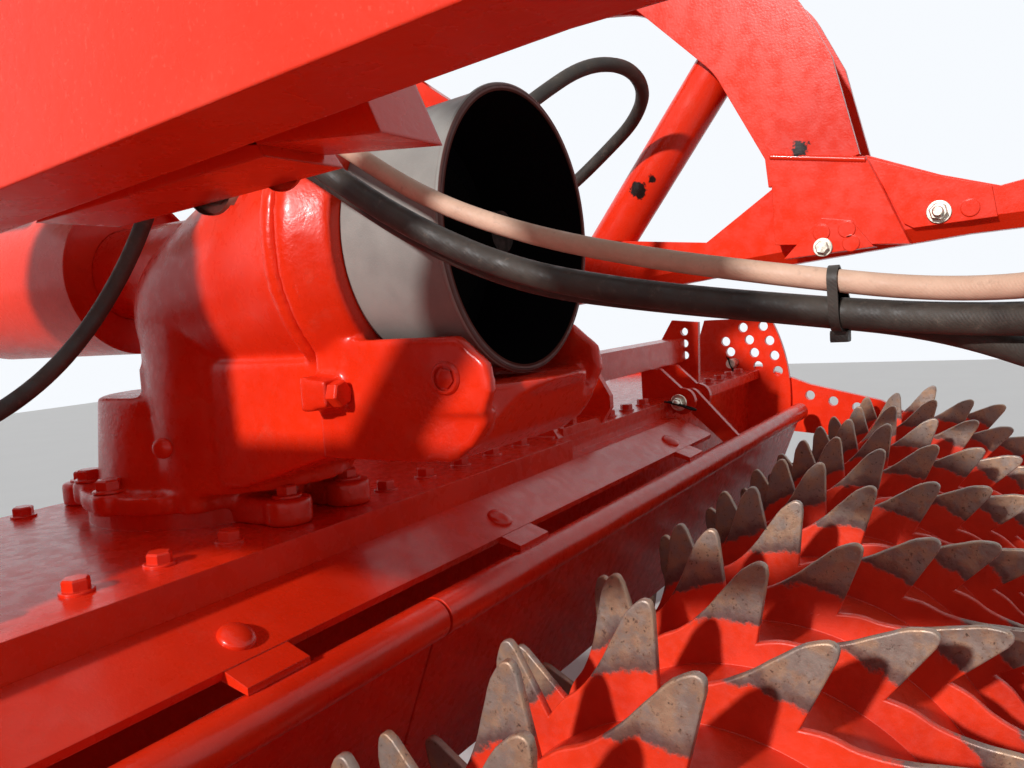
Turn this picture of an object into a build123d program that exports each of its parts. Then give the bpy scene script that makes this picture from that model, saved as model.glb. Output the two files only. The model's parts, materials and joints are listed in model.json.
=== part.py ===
from build123d import *
import os
from math import cos, pi, radians, sin, sqrt, tan

# Power harrow with a tooth packer roller and a frame that can carry a seed drill.
# Millimetres. +X is the machine's left, -Y is the front (tractor side), +Z is up, the floor is z = 0.
# Side profiles are drawn as (u, z), where u is measured rearwards from the middle of the trough.

os.makedirs("parts", exist_ok=True)
SIDES = (("left", 1), ("right", -1))

# Overall reaches from the middle of the trough, front and rear
FRONT_REACH = 560.0
REAR_REACH = 930.0
TROUGH_Y = (FRONT_REACH - REAR_REACH) / 2

# Rotors
ROTOR_COUNT = 10
ROTOR_PITCH = 300.0
RUNNING_GAP = 0.3
SEAT_GAP = 0.3

# Trough and lid
LID_TOP = 615.0
LID_T = 10.0
LID_HALF = 185.0
TROUGH_DEPTH = 135.0
TROUGH_FLOOR_HALF = 150.0
TROUGH_MOUTH_HALF = 162.0
TROUGH_WALL = 8.0
TROUGH_END = ROTOR_COUNT * ROTOR_PITCH / 2 - 20
FLANGE_T = 10.0
BOSS_R = 78.0
BOSS_DROP = 48.0

# Rotor flange, tine holder and knife tines
ROTOR_FLANGE_R = 92.0
ROTOR_FLANGE_T = 16.0
TINE_HEAD_W = 96.0
TINE_HEAD_T = 46.0
TINE_R = 136.0
TINE_T = 14.0
TINE_TOP_W = 88.0
TINE_TIP_W = 46.0
TINE_TIP_Z = 20.0
TINE_RAKE = 26.0

# Rear stiffener, guard plate and levelling board
BAR_HALF_X = 447.0
BAR_DEPTH = 28.0
BAR_T = 26.0
GUARD_HALF_X = 867.0
GUARD_T = 8.0
GUARD_RUN = 58.0
GUARD_SLOPE = 26.6
TAB_STATIONS = (190.0, 720.0)
TAB_W = 62.0
BOARD_END = TROUGH_END - 63
BOARD_JOINT_GAP = 4.0
BOARD_TUBE_R = 19.0
BOARD_TUBE_U = 292.0
BOARD_TUBE_Z = 524.0
BOARD_T = 10.0
BOARD_DROP = 214.0
BOARD_LEAN = 22.0
BOARD_PIVOT_U = 205.0
BOARD_PIVOT_Z = 612.0
BOARD_PIN_R = 11.0
BOARD_EYE_R = 24.0
BOARD_ARM_EYE_R = 19.0
BOARD_CHEEKS = (GUARD_HALF_X + 39.0, GUARD_HALF_X + 123.0)
CHEEK_T = 12.0
RAIL_U = 127.0
RAIL_Z = 695.0
RAIL_SIZE = 46.0
HOLE_PLATE_X = BOARD_CHEEKS[1] + 92.0
HOLE_PLATE_HOLES = (684.0, 708.0, 732.0)

# Foot brackets on the lid, outside the headstock
FOOT_EAR_U = 150.0
FOOT_EAR_Z = 654.0
FOOT_EAR_R = 30.0
FOOT_PIN_R = 11.0
FOOT_PLATE_X = 602.0
FOOT_T = 12.0

# Gearbox
SHAFT_Z = 867.0
PAD_R = 120.0
PAD_H = 15.0
BASE_R = 126.0
BASE_T = 18.0
BASE_LUGS = 8
BASE_LUG_R = 17.0
BASE_LUG_H = 22.0
BASE_LUG_CIRCLE = 118.0
NECK_R = 108.0
NECK_TOP_R = 100.0
NECK_TOP = 740.0
CROWN_U = 75.0
CROWN_R = 99.0
CROWN_TOP = 818.0
BARREL_REAR = 262.0
BARREL_FLANGE_R = 132.0
BARREL_FLANGE_T = 16.0
COVER_RIM_T = 12.0
FRONT_NECK_R = 50.0
FRONT_NECK_END = -150.0
COVER_T = 46.0
COVER_NECK_R = 92.0
COVER_NECK_L = 18.0
SHAFT_R = 24.0
STUB_R = 17.5
STUB_FRONT = -262.0
STUB_REAR = 392.0
# Columns: u, half width, lowest z, highest z. Oval sections of the gearbox's body, front to rear
CASE_SECTIONS = ((-26.0, 20.0, 775.0, 845.0), (0.0, 68.0, 742.0, 888.0), (40.0, 95.0, 736.0, 906.0),
                 (80.0, 102.0, 736.0, 927.0), (120.0, 106.0, 736.0, 947.0), (160.0, 110.0, 737.0, 964.0),
                 (200.0, 115.0, 740.0, 976.0), (250.0, 122.0, 745.0, 989.0))
# Columns: u, z. Side outline of the sump under the rear cover, and its half width and bowed end
SUMP_OUTLINE = ((262.0, 690.0), (391.0, 690.0), (411.0, 705.0), (430.0, 735.0), (448.0, 748.0), (262.0, 748.0))
SUMP_HALF = 96.0
SUMP_BOW = 76.0

# Shaft guards
CONE_MOUTH_R = 114.0
CONE_BACK_R = 105.0
CONE_MOUTH = 411.0
CONE_WALL = 4.0
TUBE_GUARD_R = 88.0
TUBE_GUARD_REAR = -84.0
TUBE_GUARD_FRONT = -338.0
GUARD_PLATE_SET = 8.0
GUARD_PLATE_T = 8.0
SHEET = 3.0

# Headstock
HEAD_X = 462.0
HEAD_T = 16.0
LINK_Z = 628.0
LINK_R = 14.3
LINK_EAR_T = 20.0
LINK_GAP = 62.0
LINK_NOSE_R = 42.0
TOP_LINK_U = -396.0
TOP_LINK_Z = 1238.0
TOP_LINK_R = 12.9
TOP_GAP = 52.0
TOP_EAR_T = 20.0
MAST_U = -150.0
MAST_Z = 1128.0
MAST_R = 44.0
TOP_EAR_EYE_R = 62.0
TOP_EAR_NOSE_R = 38.0
# Columns: u, z. Rear edge, top and front edge of a headstock side, from the lid upwards
HEAD_OUTLINE = ((110.0, 740.0), (96.0, 1040.0), (76.0, 1081.0), (-51.0, 1175.0), (-196.0, 1175.0),
                (-196.0, 1060.0), (-230.0, 900.0), (-300.0, 760.0))
EAR_ROOT_U = -300.0
EAR_DROP = 40.0
LINK_FOOT_U = -60.0
LINK_WEB_T = 16.0
LINK_HEIGHT = 120.0

# Drill arms, swan necks and braces
ARM_W = 42.0
ARM_PIN_R = 15.0
ARM_PIN_Z = 905.0
ARM_NOSE_R = 45.0
ARM_FOLD = 16.0
NECK_W = 90.0
NECK_PLATE_T = 9.0
NECK_RIM = 15.0
NECK_BEND_R = 90.0
BRACE_R = 29.0
# Columns: u, z. The arm's outline between its front end and the rear eye, then its top edge back
ARM_UNDER = ((-150.0, 790.0), (110.0, 790.0), (400.0, 824.0), (568.0, 840.0), (705.0, 853.0))
ARM_TOP = ((758.0, 905.0), (736.0, 901.0), (678.0, 920.0), (602.0, 952.0), (492.0, 926.0), (408.0, 870.0),
           (271.0, 885.0), (-150.0, 880.0))
# Columns: u, z. The neck's outline, from its foot on the arm up the rear side and back underneath
NECK_OUTLINE = ((496.0, 915.0), (602.0, 935.0), (571.0, 1065.0), (534.0, 1141.0), (440.0, 1215.0),
                (60.0, 1330.0), (-150.0, 1330.0), (-150.0, 1175.0), (-51.0, 1175.0), (60.0, 1225.0),
                (318.0, 1187.0), (434.0, 1072.0), (492.0, 960.0))
# Columns: u, z. The foot that carries each neck's inner plate down the arm's inner face
FOOT_PLATE = ((500.0, 858.0), (648.0, 846.0), (606.0, 944.0), (498.0, 962.0))
FOOT_PLATE_T = (NECK_W - ARM_W) / 2

# End plates, roller frame and roller
END_T = 12.0
PIVOT_U = -150.0
PIVOT_Z = 560.0
PIVOT_R = 24.0
SECTOR_R = 408.0
SECTOR_TOP = 740.0
SECTOR_FRONT = 55.0
SECTOR_LOW = 480.0
# Columns: u, z. The end plate's lower and front edge, from the sector's foot to its top
END_OUTLINE = ((150.0, 410.0), (-170.0, 410.0), (-210.0, 460.0), (-210.0, 640.0), (20.0, 640.0))
# Columns: u, z. The roller arm's edge behind the stop pin, past the roller's shaft, and its underside
ARM_CREST = ((300.0, 578.0), (455.0, 540.0), (640.0, 440.0))
ARM_BELLY = ((640.0, 240.0), (482.0, 208.0), (462.0, 344.0), (375.0, 454.0), (225.0, 470.0))
ARM_HOLES = ((300.0, 552.0), (352.0, 538.0), (404.0, 524.0))
ARM_PLATE_T = 16.0
ARM_PLATE_X = TROUGH_END + END_T + ARM_PLATE_T / 2
STOP_PIN_R = 11.0
STOP_STEP = 5.6
STOP_PIN_LENGTH = 82.0
# Columns: radius from the pivot, angle of the first hole, number of holes
STOP_HOLES = ((286.0, 15.0, 3), (340.0, 11.0, 4), (384.0, 7.8, 4))
ROLLER_U = 552.0
ROLLER_R = 290.0
DRUM_R = 198.0
DRUM_HALF = TROUGH_END - 28
DRUM_WALL = 8.0
ROLLER_SHAFT_R = 30.0
RING_COUNT = 26
RING_PITCH = 112.0
RING_SHIFT = -31.0
RING_T = 8.0
RING_TWIST = 11.53
FIRST_TOOTH = 29.8
TOOTH_COUNT = 13
# Columns: share of the tooth's step from its steep edge, share of the tooth's height
TOOTH_SHAPE = ((0.07, 0.0), (0.0, 1.0), (0.28, 0.65), (0.6, 0.18))
TOOTH_ROOT_R = 219.0
DRUM_SIDES = 2 * TOOTH_COUNT
BEARING_R = 66.0
BEARING_T = 22.0
SCRAPER_BEAM = 80.0
SCRAPER_U = 885.0
SCRAPER_Z = 385.0
FINGER_W = 60.0
FINGER_T = 10.0
FINGER_ROOT = 4.0
FINGER_GAP = 5.0

# Hoses and their parked couplings
HOSE_R = 8.0
DRAIN_R = 6.0
FEED_R = 7.0
PLUG_R = 11.0
SOCKET_R = 15.0
SOCKET_L = 22.0
PLUG_END_X = 394.0
SHELF_Z = 1008.0
SHELF_T = 8.0
SHELF_U = -236.0
SHELF_HALF = 26.0
SHELF_BACK = -194.0
PLUG_TOP = 1076.0
HOLDER_T = 14.0
GLAND_R = 20.0
GLAND_L = 22.0
ARC_SHARE = 0.45

# Side deflectors and parking stands
DEFLECTOR_X = TROUGH_END + 58
DEFLECTOR_T = 6.0
DEFLECTOR_HINGE_Z = 424.0
DEFLECTOR_PIN_R = 9.0
DEFLECTOR_EYE_R = 15.0
DEFLECTOR_LUG_T = 12.0
DEFLECTOR_LUGS = (-160.0, -50.0)
DEFLECTOR_FRONT = -210.0
DEFLECTOR_LENGTH = 360.0
DEFLECTOR_BOTTOM = 70.0
STAND_X = 900.0
STAND_U = -232.0
STAND_PIVOT_Z = 540.0
STAND_PIN_R = 10.0
STAND_TUBE = 50.0
STAND_FOOT_X = 96.0
STAND_FOOT_U = 84.0
STAND_FOOT_T = 10.0
STAND_HEAD = 30.0
LUG_T = 8.0
LUG_GAP = 4.0
LUG_HALF = 34.0

# Hose routes from the parked front plugs over the mast to the rear. Columns: x, u, z
SUPPLY_ROUTE = ((160, -236, 1076), (160, -236, 1164), (160, -188, 1240), (161, -92, 1262), (166, 10, 1190),
                (177, 110, 1098), (187, 208, 1018), (191, 285, 960), (186, 351, 916), (178, 425, 863),
                (170, 500, 826), (162, 575, 808), (155, 655, 795), (149, 732, 785), (178, 798, 784),
                (240, 842, 796), (318, 862, 822), (394, 862, 822))
RETURN_ROUTE = ((122, -236, 1076), (122, -236, 1156), (122, -190, 1228), (124, -96, 1250), (134, 4, 1178),
                (150, 106, 1086), (164, 204, 1005), (172, 285, 946), (168, 351, 905), (160, 425, 853),
                (152, 500, 819), (145, 575, 805), (136, 658, 793), (131, 732, 782), (165, 796, 759),
                (234, 826, 773), (314, 826, 800), (394, 826, 800))
DRAIN_ROUTE = ((198, -236, 1076), (198, -236, 1150), (198, -196, 1220), (198, -120, 1256), (199, -30, 1232),
               (201, 60, 1156), (203, 150, 1084), (200, 240, 1014), (192, 316, 960), (184, 382, 919),
               (177, 445, 875), (171, 515, 846), (164, 590, 826), (158, 665, 811), (154, 734, 799),
               (184, 792, 800), (246, 828, 820), (322, 846, 850), (394, 846, 850))
FEED_ROUTE = ((84, -236, 1076), (84, -236, 1148), (84, -192, 1214), (86, -108, 1234), (92, -26, 1184),
              (102, 44, 1112), (114, 104, 1026), (125, 133, 944), (138, 106, 878), (168, 80, 814),
              (220, 82, 768), (286, 90, 738), (356, 90, 728), (432, 90, 728))
LOOP_ROUTE = ((-80, -236, 1076), (-80, -236, 1160), (-80, -188, 1236), (-80, -92, 1258), (-80, 6, 1190),
              (-80, 98, 1098), (-82, 184, 1022), (-106, 248, 986), (-160, 290, 984), (-214, 316, 1026),
              (-262, 352, 1062), (-316, 378, 1066), (-370, 376, 1048), (-410, 344, 1024), (-430, 300, 1000),
              (-436, 240, 960), (-436, 166, 920), (-436, 92, 905))
HOSES = (("supply_hose", HOSE_R, SUPPLY_ROUTE), ("return_hose", HOSE_R, RETURN_ROUTE),
         ("drain_hose", DRAIN_R, DRAIN_ROUTE), ("feed_hose", FEED_R, FEED_ROUTE),
         ("loop_hose", HOSE_R, LOOP_ROUTE))

TROUGH_TOP = LID_TOP - LID_T
TROUGH_BOTTOM = TROUGH_TOP - TROUGH_DEPTH
BAR_U = LID_HALF + BAR_T / 2
BAR_Z = LID_TOP - BAR_DEPTH / 2
END_X = TROUGH_END + END_T / 2
STOP_PIN_U = PIVOT_U + STOP_HOLES[0][0] * cos(radians(STOP_HOLES[0][1]))
STOP_PIN_Z = PIVOT_Z + STOP_HOLES[0][0] * sin(radians(STOP_HOLES[0][1]))
ROLLER_Z = ROLLER_R
FLOOR_PLANE = Plane(origin=(0, TROUGH_Y, 0))


def side_plane(x):
    """Plane across the machine at x, with local axes (u, z)."""
    return Plane(origin=(x, TROUGH_Y, 0), x_dir=(0, 1, 0), z_dir=(1, 0, 0))


def cross_plane(u):
    """Upright plane at u that faces the rear, with local axes (-x, z)."""
    return Plane(origin=(0, TROUGH_Y + u, 0), x_dir=(-1, 0, 0), z_dir=(0, 1, 0))


def level_plane(z):
    """Level plane at height z, with local axes (x, u)."""
    return FLOOR_PLANE.offset(z)


def save(piece, name):
    piece.part.label = name
    export_step(piece.part, f"parts/{name}.step")


# Gear trough: a pan with flanges, closed ends and a bearing boss under each rotor
rotor_stations = [(i - (ROTOR_COUNT - 1) / 2) * ROTOR_PITCH for i in range(ROTOR_COUNT)]
with BuildPart() as trough:
    with BuildSketch(side_plane(0)):
        Polygon((-TROUGH_MOUTH_HALF, TROUGH_TOP), (-TROUGH_FLOOR_HALF, TROUGH_BOTTOM),
                (TROUGH_FLOOR_HALF, TROUGH_BOTTOM), (TROUGH_MOUTH_HALF, TROUGH_TOP), align=None)
        with Locations((0, TROUGH_TOP - FLANGE_T / 2)):
            Rectangle(2 * LID_HALF, FLANGE_T)
    extrude(amount=TROUGH_END, both=True)
    with BuildSketch(side_plane(0)):
        Polygon((-TROUGH_MOUTH_HALF + TROUGH_WALL, TROUGH_TOP),
                (-TROUGH_FLOOR_HALF + TROUGH_WALL, TROUGH_BOTTOM + TROUGH_WALL),
                (TROUGH_FLOOR_HALF - TROUGH_WALL, TROUGH_BOTTOM + TROUGH_WALL),
                (TROUGH_MOUTH_HALF - TROUGH_WALL, TROUGH_TOP), align=None)
    extrude(amount=TROUGH_END - TROUGH_WALL, both=True, mode=Mode.SUBTRACT)
    with BuildSketch(level_plane(TROUGH_BOTTOM)):
        with Locations(*[(x, 0) for x in rotor_stations]):
            Circle(BOSS_R)
    extrude(amount=-BOSS_DROP)
save(trough, "gear_trough")

# Stand brackets: two lugs in front of the trough on each side, joined by a web under its flange
lug_offset = STAND_TUBE / 2 + LUG_GAP + LUG_T / 2
web_front = STAND_U - lug_offset - LUG_T / 2
web_top = TROUGH_TOP - FLANGE_T
with BuildPart() as stand_brackets:
    for side, sign in SIDES:
        with Locations((sign * STAND_X, TROUGH_Y + (web_front - TROUGH_MOUTH_HALF) / 2, web_top - LUG_T / 2)):
            Box(2 * LUG_HALF, -TROUGH_MOUTH_HALF - web_front, LUG_T)
        for shift in (lug_offset, -lug_offset):
            with BuildSketch(cross_plane(STAND_U + shift - LUG_T / 2)):
                with Locations((-sign * STAND_X, STAND_PIVOT_Z)):
                    Circle(LUG_HALF)
                with Locations((-sign * STAND_X, (STAND_PIVOT_Z + web_top) / 2)):
                    Rectangle(2 * LUG_HALF, web_top - STAND_PIVOT_Z)
                with Locations((-sign * STAND_X, STAND_PIVOT_Z)):
                    Circle(STAND_PIN_R + RUNNING_GAP, mode=Mode.SUBTRACT)
            extrude(amount=LUG_T)
save(stand_brackets, "stand_brackets")

with BuildPart() as lid:
    with Locations((0, TROUGH_Y, LID_TOP - LID_T / 2)):
        Box(2 * TROUGH_END, 2 * LID_HALF, LID_T)
    with BuildSketch(level_plane(LID_TOP)):
        Circle(PAD_R)
    extrude(amount=PAD_H)
save(lid, "trough_lid")

# Rotors: flange and tine head under each boss, with two raked knife tines each
HEAD_TOP = TROUGH_BOTTOM - BOSS_DROP - ROTOR_FLANGE_T - RUNNING_GAP
for number, x in enumerate(rotor_stations, start=1):
    turn = 90 if number % 2 else 0
    sense = 1 if number % 2 else -1
    across = (cos(radians(turn)), sin(radians(turn)), 0)
    rotor_top = Plane(origin=(x, TROUGH_Y, 0), x_dir=across, z_dir=(0, 0, 1))
    with BuildPart() as rotor:
        with BuildSketch(rotor_top.offset(HEAD_TOP)):
            Circle(ROTOR_FLANGE_R)
        extrude(amount=ROTOR_FLANGE_T)
        with BuildSketch(rotor_top.offset(HEAD_TOP)):
            Rectangle(2 * TINE_R - TINE_T, TINE_HEAD_W)
        extrude(amount=-TINE_HEAD_T)
        for end in (1, -1):
            blade = Plane(origin=rotor_top.from_local_coords((end * TINE_R, 0, 0)),
                          x_dir=rotor_top.y_dir * end * sense, z_dir=rotor_top.x_dir * end * sense)
            with BuildSketch(blade):
                Polygon((-TINE_TOP_W / 2, HEAD_TOP), (TINE_TOP_W / 2, HEAD_TOP),
                        (TINE_TOP_W / 2, HEAD_TOP - 2 * TINE_HEAD_T),
                        (TINE_TIP_W / 2 - TINE_RAKE, TINE_TIP_Z + TINE_RAKE),
                        (-TINE_TIP_W / 2 - TINE_RAKE, TINE_TIP_Z),
                        (-TINE_TOP_W / 2, HEAD_TOP - 2 * TINE_HEAD_T), align=None)
            extrude(amount=TINE_T / 2, both=True)
    save(rotor, f"rotor_{number:02d}")

# Stiffener bar along the lid's rear edge, between the drill arms' feet
with BuildPart() as bar:
    with Locations((0, TROUGH_Y + BAR_U, BAR_Z)):
        Box(2 * BAR_HALF_X, BAR_T, BAR_DEPTH)
save(bar, "rear_stiffener_bar")

# Guard plate that slopes down from the bar to the levelling board, with tabs
guard_u = LID_HALF + BAR_T
guard_z = LID_TOP - BAR_DEPTH
guard_end_u = guard_u + GUARD_RUN
guard_end_z = guard_z - GUARD_RUN * tan(radians(GUARD_SLOPE))
with BuildPart() as guard:
    with BuildSketch(side_plane(0)):
        Polygon((LID_HALF, TROUGH_TOP - FLANGE_T), (LID_HALF, guard_z), (guard_u, guard_z),
                (guard_end_u, guard_end_z), (guard_end_u - GUARD_T / 2, guard_end_z - GUARD_T),
                (guard_u - GUARD_T, guard_z - GUARD_T), (TROUGH_MOUTH_HALF, guard_z - GUARD_T),
                (TROUGH_MOUTH_HALF, TROUGH_TOP - FLANGE_T), align=None)
    extrude(amount=GUARD_HALF_X, both=True)
    for station in TAB_STATIONS:
        for sign in (1, -1):
            with BuildSketch(side_plane(sign * station)):
                Polygon((guard_end_u - 2, guard_end_z), (BOARD_TUBE_U, BOARD_TUBE_Z + BOARD_TUBE_R + 6),
                        (BOARD_TUBE_U, BOARD_TUBE_Z + BOARD_TUBE_R), (guard_end_u - 6, guard_end_z - GUARD_T),
                        align=None)
            extrude(amount=TAB_W / 2, both=True)
save(guard, "rear_guard_plate")

# Levelling board in two halves, its top edge rolled into a tube
board_foot_u = BOARD_TUBE_U - BOARD_DROP * tan(radians(BOARD_LEAN))
board_foot_z = BOARD_TUBE_Z - BOARD_DROP
for side, sign in SIDES:
    board_start = BOARD_JOINT_GAP / 2
    board_plane = side_plane(sign * board_start)
    with BuildPart() as board:
        with BuildSketch(board_plane):
            Polygon((BOARD_TUBE_U - BOARD_T / 2, BOARD_TUBE_Z), (BOARD_TUBE_U + BOARD_T / 2, BOARD_TUBE_Z),
                    (board_foot_u + BOARD_T / 2, board_foot_z), (board_foot_u - BOARD_T / 2, board_foot_z),
                    align=None)
            with Locations((BOARD_TUBE_U, BOARD_TUBE_Z)):
                Circle(BOARD_TUBE_R)
        extrude(amount=sign * (BOARD_END - board_start))
    save(board, f"levelling_board_{side}")

# Gearbox: base flange with lugs, neck, crown wheel case, and a body that swells towards the rear cover
with BuildPart() as gearbox:
    with BuildSketch(level_plane(LID_TOP + PAD_H)):
        Circle(BASE_R)
    extrude(amount=BASE_T)
    with BuildSketch(level_plane(LID_TOP + PAD_H)):
        with PolarLocations(BASE_LUG_CIRCLE, BASE_LUGS):
            Circle(BASE_LUG_R)
    extrude(amount=BASE_LUG_H)
    for height, radius in ((LID_TOP + PAD_H + BASE_T, NECK_R), (NECK_TOP, NECK_TOP_R)):
        with BuildSketch(level_plane(height)):
            Circle(radius)
    loft()
    with BuildSketch(level_plane(LID_TOP + PAD_H + BASE_T)):
        with Locations((0, CROWN_U)):
            Circle(CROWN_R)
    extrude(amount=CROWN_TOP - LID_TOP - PAD_H - BASE_T)
    for section_u, half_width, low, high in CASE_SECTIONS:
        with BuildSketch(cross_plane(section_u)):
            with Locations((0, (low + high) / 2)):
                Ellipse(half_width, (high - low) / 2)
    loft()
    with BuildSketch(cross_plane(FRONT_NECK_END)):
        with Locations((0, SHAFT_Z)):
            Circle(FRONT_NECK_R)
    extrude(amount=CASE_SECTIONS[3][0] - FRONT_NECK_END)
    with BuildSketch(cross_plane(BARREL_REAR)):
        with Locations((0, SHAFT_Z)):
            Circle(BARREL_FLANGE_R)
    extrude(amount=-BARREL_FLANGE_T)
    with BuildSketch(cross_plane(0)):
        with Locations((0, SHAFT_Z)):
            Circle(SHAFT_R + RUNNING_GAP)
    extrude(amount=BARREL_REAR, both=True, mode=Mode.SUBTRACT)
save(gearbox, "gearbox_housing")

cover_end = BARREL_REAR + COVER_T
with BuildPart() as cover:
    with BuildSketch(side_plane(0)):
        with BuildLine():
            Polyline((BARREL_REAR, SHAFT_Z + SHAFT_R + RUNNING_GAP), (BARREL_REAR, SHAFT_Z + BARREL_FLANGE_R),
                     (BARREL_REAR + COVER_RIM_T, SHAFT_Z + BARREL_FLANGE_R), (cover_end, SHAFT_Z + COVER_NECK_R + 26),
                     (cover_end, SHAFT_Z + COVER_NECK_R - 20),
                     (cover_end + COVER_NECK_L, SHAFT_Z + COVER_NECK_R - 20),
                     (cover_end + COVER_NECK_L, SHAFT_Z + SHAFT_R + RUNNING_GAP), close=True)
        make_face()
    revolve(axis=Axis((0, 0, SHAFT_Z), (0, 1, 0)))
    with BuildSketch(side_plane(0)):
        Polygon(*SUMP_OUTLINE, align=None)
    extrude(amount=SUMP_HALF, both=True)
    bow_u = SUMP_OUTLINE[-2][0] - SUMP_BOW
    with BuildSketch(level_plane(SUMP_OUTLINE[0][1])):
        with Locations((0, SUMP_OUTLINE[-2][0])):
            Rectangle(2 * SUMP_HALF, 2 * SUMP_BOW)
        with Locations((0, bow_u)):
            Ellipse(SUMP_HALF, SUMP_BOW, mode=Mode.SUBTRACT)
    extrude(amount=SUMP_OUTLINE[-1][1] - SUMP_OUTLINE[0][1], mode=Mode.SUBTRACT)
save(cover, "gearbox_rear_cover")

with BuildPart() as cone:
    with BuildSketch(side_plane(0)):
        with BuildLine():
            Polyline((cover_end + 0.5, SHAFT_Z + COVER_NECK_R - 20 + RUNNING_GAP),
                     (cover_end + 0.5, SHAFT_Z + CONE_BACK_R), (CONE_MOUTH, SHAFT_Z + CONE_MOUTH_R),
                     (CONE_MOUTH, SHAFT_Z + CONE_MOUTH_R - CONE_WALL),
                     (cover_end + 0.5 + CONE_WALL, SHAFT_Z + CONE_BACK_R - CONE_WALL),
                     (cover_end + 0.5 + CONE_WALL, SHAFT_Z + COVER_NECK_R - 20 + RUNNING_GAP), close=True)
        make_face()
    revolve(axis=Axis((0, 0, SHAFT_Z), (0, 1, 0)))
save(cone, "rear_shaft_guard")

guard_plate_u = TUBE_GUARD_REAR - GUARD_PLATE_SET - GUARD_PLATE_T
with BuildPart() as tube_guard:
    with BuildSketch(side_plane(0)):
        with BuildLine():
            Polyline((guard_plate_u + GUARD_PLATE_T, SHAFT_Z + FRONT_NECK_R + RUNNING_GAP),
                     (guard_plate_u + GUARD_PLATE_T, SHAFT_Z + TUBE_GUARD_R - SHEET),
                     (TUBE_GUARD_REAR, SHAFT_Z + TUBE_GUARD_R - SHEET), (TUBE_GUARD_REAR, SHAFT_Z + TUBE_GUARD_R),
                     (TUBE_GUARD_FRONT, SHAFT_Z + TUBE_GUARD_R), (TUBE_GUARD_FRONT, SHAFT_Z + TUBE_GUARD_R - SHEET),
                     (guard_plate_u, SHAFT_Z + TUBE_GUARD_R - SHEET),
                     (guard_plate_u, SHAFT_Z + FRONT_NECK_R + RUNNING_GAP), close=True)
        make_face()
    revolve(axis=Axis((0, 0, SHAFT_Z), (0, 1, 0)))
save(tube_guard, "front_shaft_guard")

with BuildPart() as shaft:
    for end_u, radius, start_u in ((cover_end + COVER_NECK_L, SHAFT_R, FRONT_NECK_END),
                                   (STUB_REAR, STUB_R, STUB_FRONT)):
        with BuildSketch(cross_plane(start_u)):
            with Locations((0, SHAFT_Z)):
                Circle(radius)
        extrude(amount=end_u - start_u)
save(shaft, "drive_shaft")

# Headstock sides: upright plates on the lid that run forward into the outer lower-link ears
ear_u = -FRONT_REACH + LINK_NOSE_R
ear_low = LINK_Z - LINK_NOSE_R - EAR_DROP
lid_front = -LID_HALF - 2
for side, sign in SIDES:
    with BuildPart() as head:
        with BuildSketch(side_plane(sign * HEAD_X)):
            Polygon((LID_HALF, LID_TOP), *HEAD_OUTLINE, (ear_u, LINK_Z + LINK_NOSE_R),
                    (ear_u, LINK_Z - LINK_NOSE_R), (EAR_ROOT_U, ear_low), (lid_front, ear_low),
                    (lid_front, LID_TOP), align=None)
            with Locations((ear_u, LINK_Z)):
                Circle(LINK_NOSE_R)
                Circle(LINK_R, mode=Mode.SUBTRACT)
        extrude(amount=HEAD_T / 2, both=True)
        gland_route = FEED_ROUTE if sign > 0 else LOOP_ROUTE
        before, end = [Vector(x, TROUGH_Y + u, z) for x, u, z in gland_route[-2:]]
        with BuildSketch(Plane(origin=end, z_dir=end - before)):
            Circle(GLAND_R)
        extrude(amount=GLAND_L)
    save(head, f"headstock_side_{side}")

# Foot brackets: two ears and an outer gusset beside each headstock side
with BuildPart() as feet:
    for side, sign in SIDES:
        head_face = HEAD_X + HEAD_T / 2
        with Locations((sign * (head_face + FOOT_PLATE_X) / 2, TROUGH_Y + LID_HALF / 2 + FOOT_T,
                        LID_TOP + FOOT_T / 2)):
            Box(FOOT_PLATE_X - head_face, LID_HALF - 2 * FOOT_T, FOOT_T)
        for ear_x in (head_face + FOOT_T / 2, head_face + 4 * FOOT_T):
            with BuildSketch(side_plane(sign * ear_x)):
                with Locations((FOOT_EAR_U, (LID_TOP + FOOT_EAR_Z) / 2)):
                    Rectangle(2 * FOOT_EAR_R, FOOT_EAR_Z - LID_TOP)
                with Locations((FOOT_EAR_U, FOOT_EAR_Z)):
                    Circle(FOOT_EAR_R)
                    Circle(FOOT_PIN_R, mode=Mode.SUBTRACT)
            extrude(amount=FOOT_T / 2, both=True)
        with BuildSketch(side_plane(sign * FOOT_PLATE_X)):
            Polygon((LID_HALF - 145, LID_TOP), (LID_HALF, LID_TOP), (LID_HALF + 17, LID_TOP + 25),
                    (LID_HALF + 17, LID_TOP + 44), (LID_HALF - 30, LID_TOP + 126),
                    (LID_HALF - 125, LID_TOP + 126), align=None)
        extrude(amount=FOOT_T / 2, both=True)
save(feet, "foot_brackets")

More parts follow.
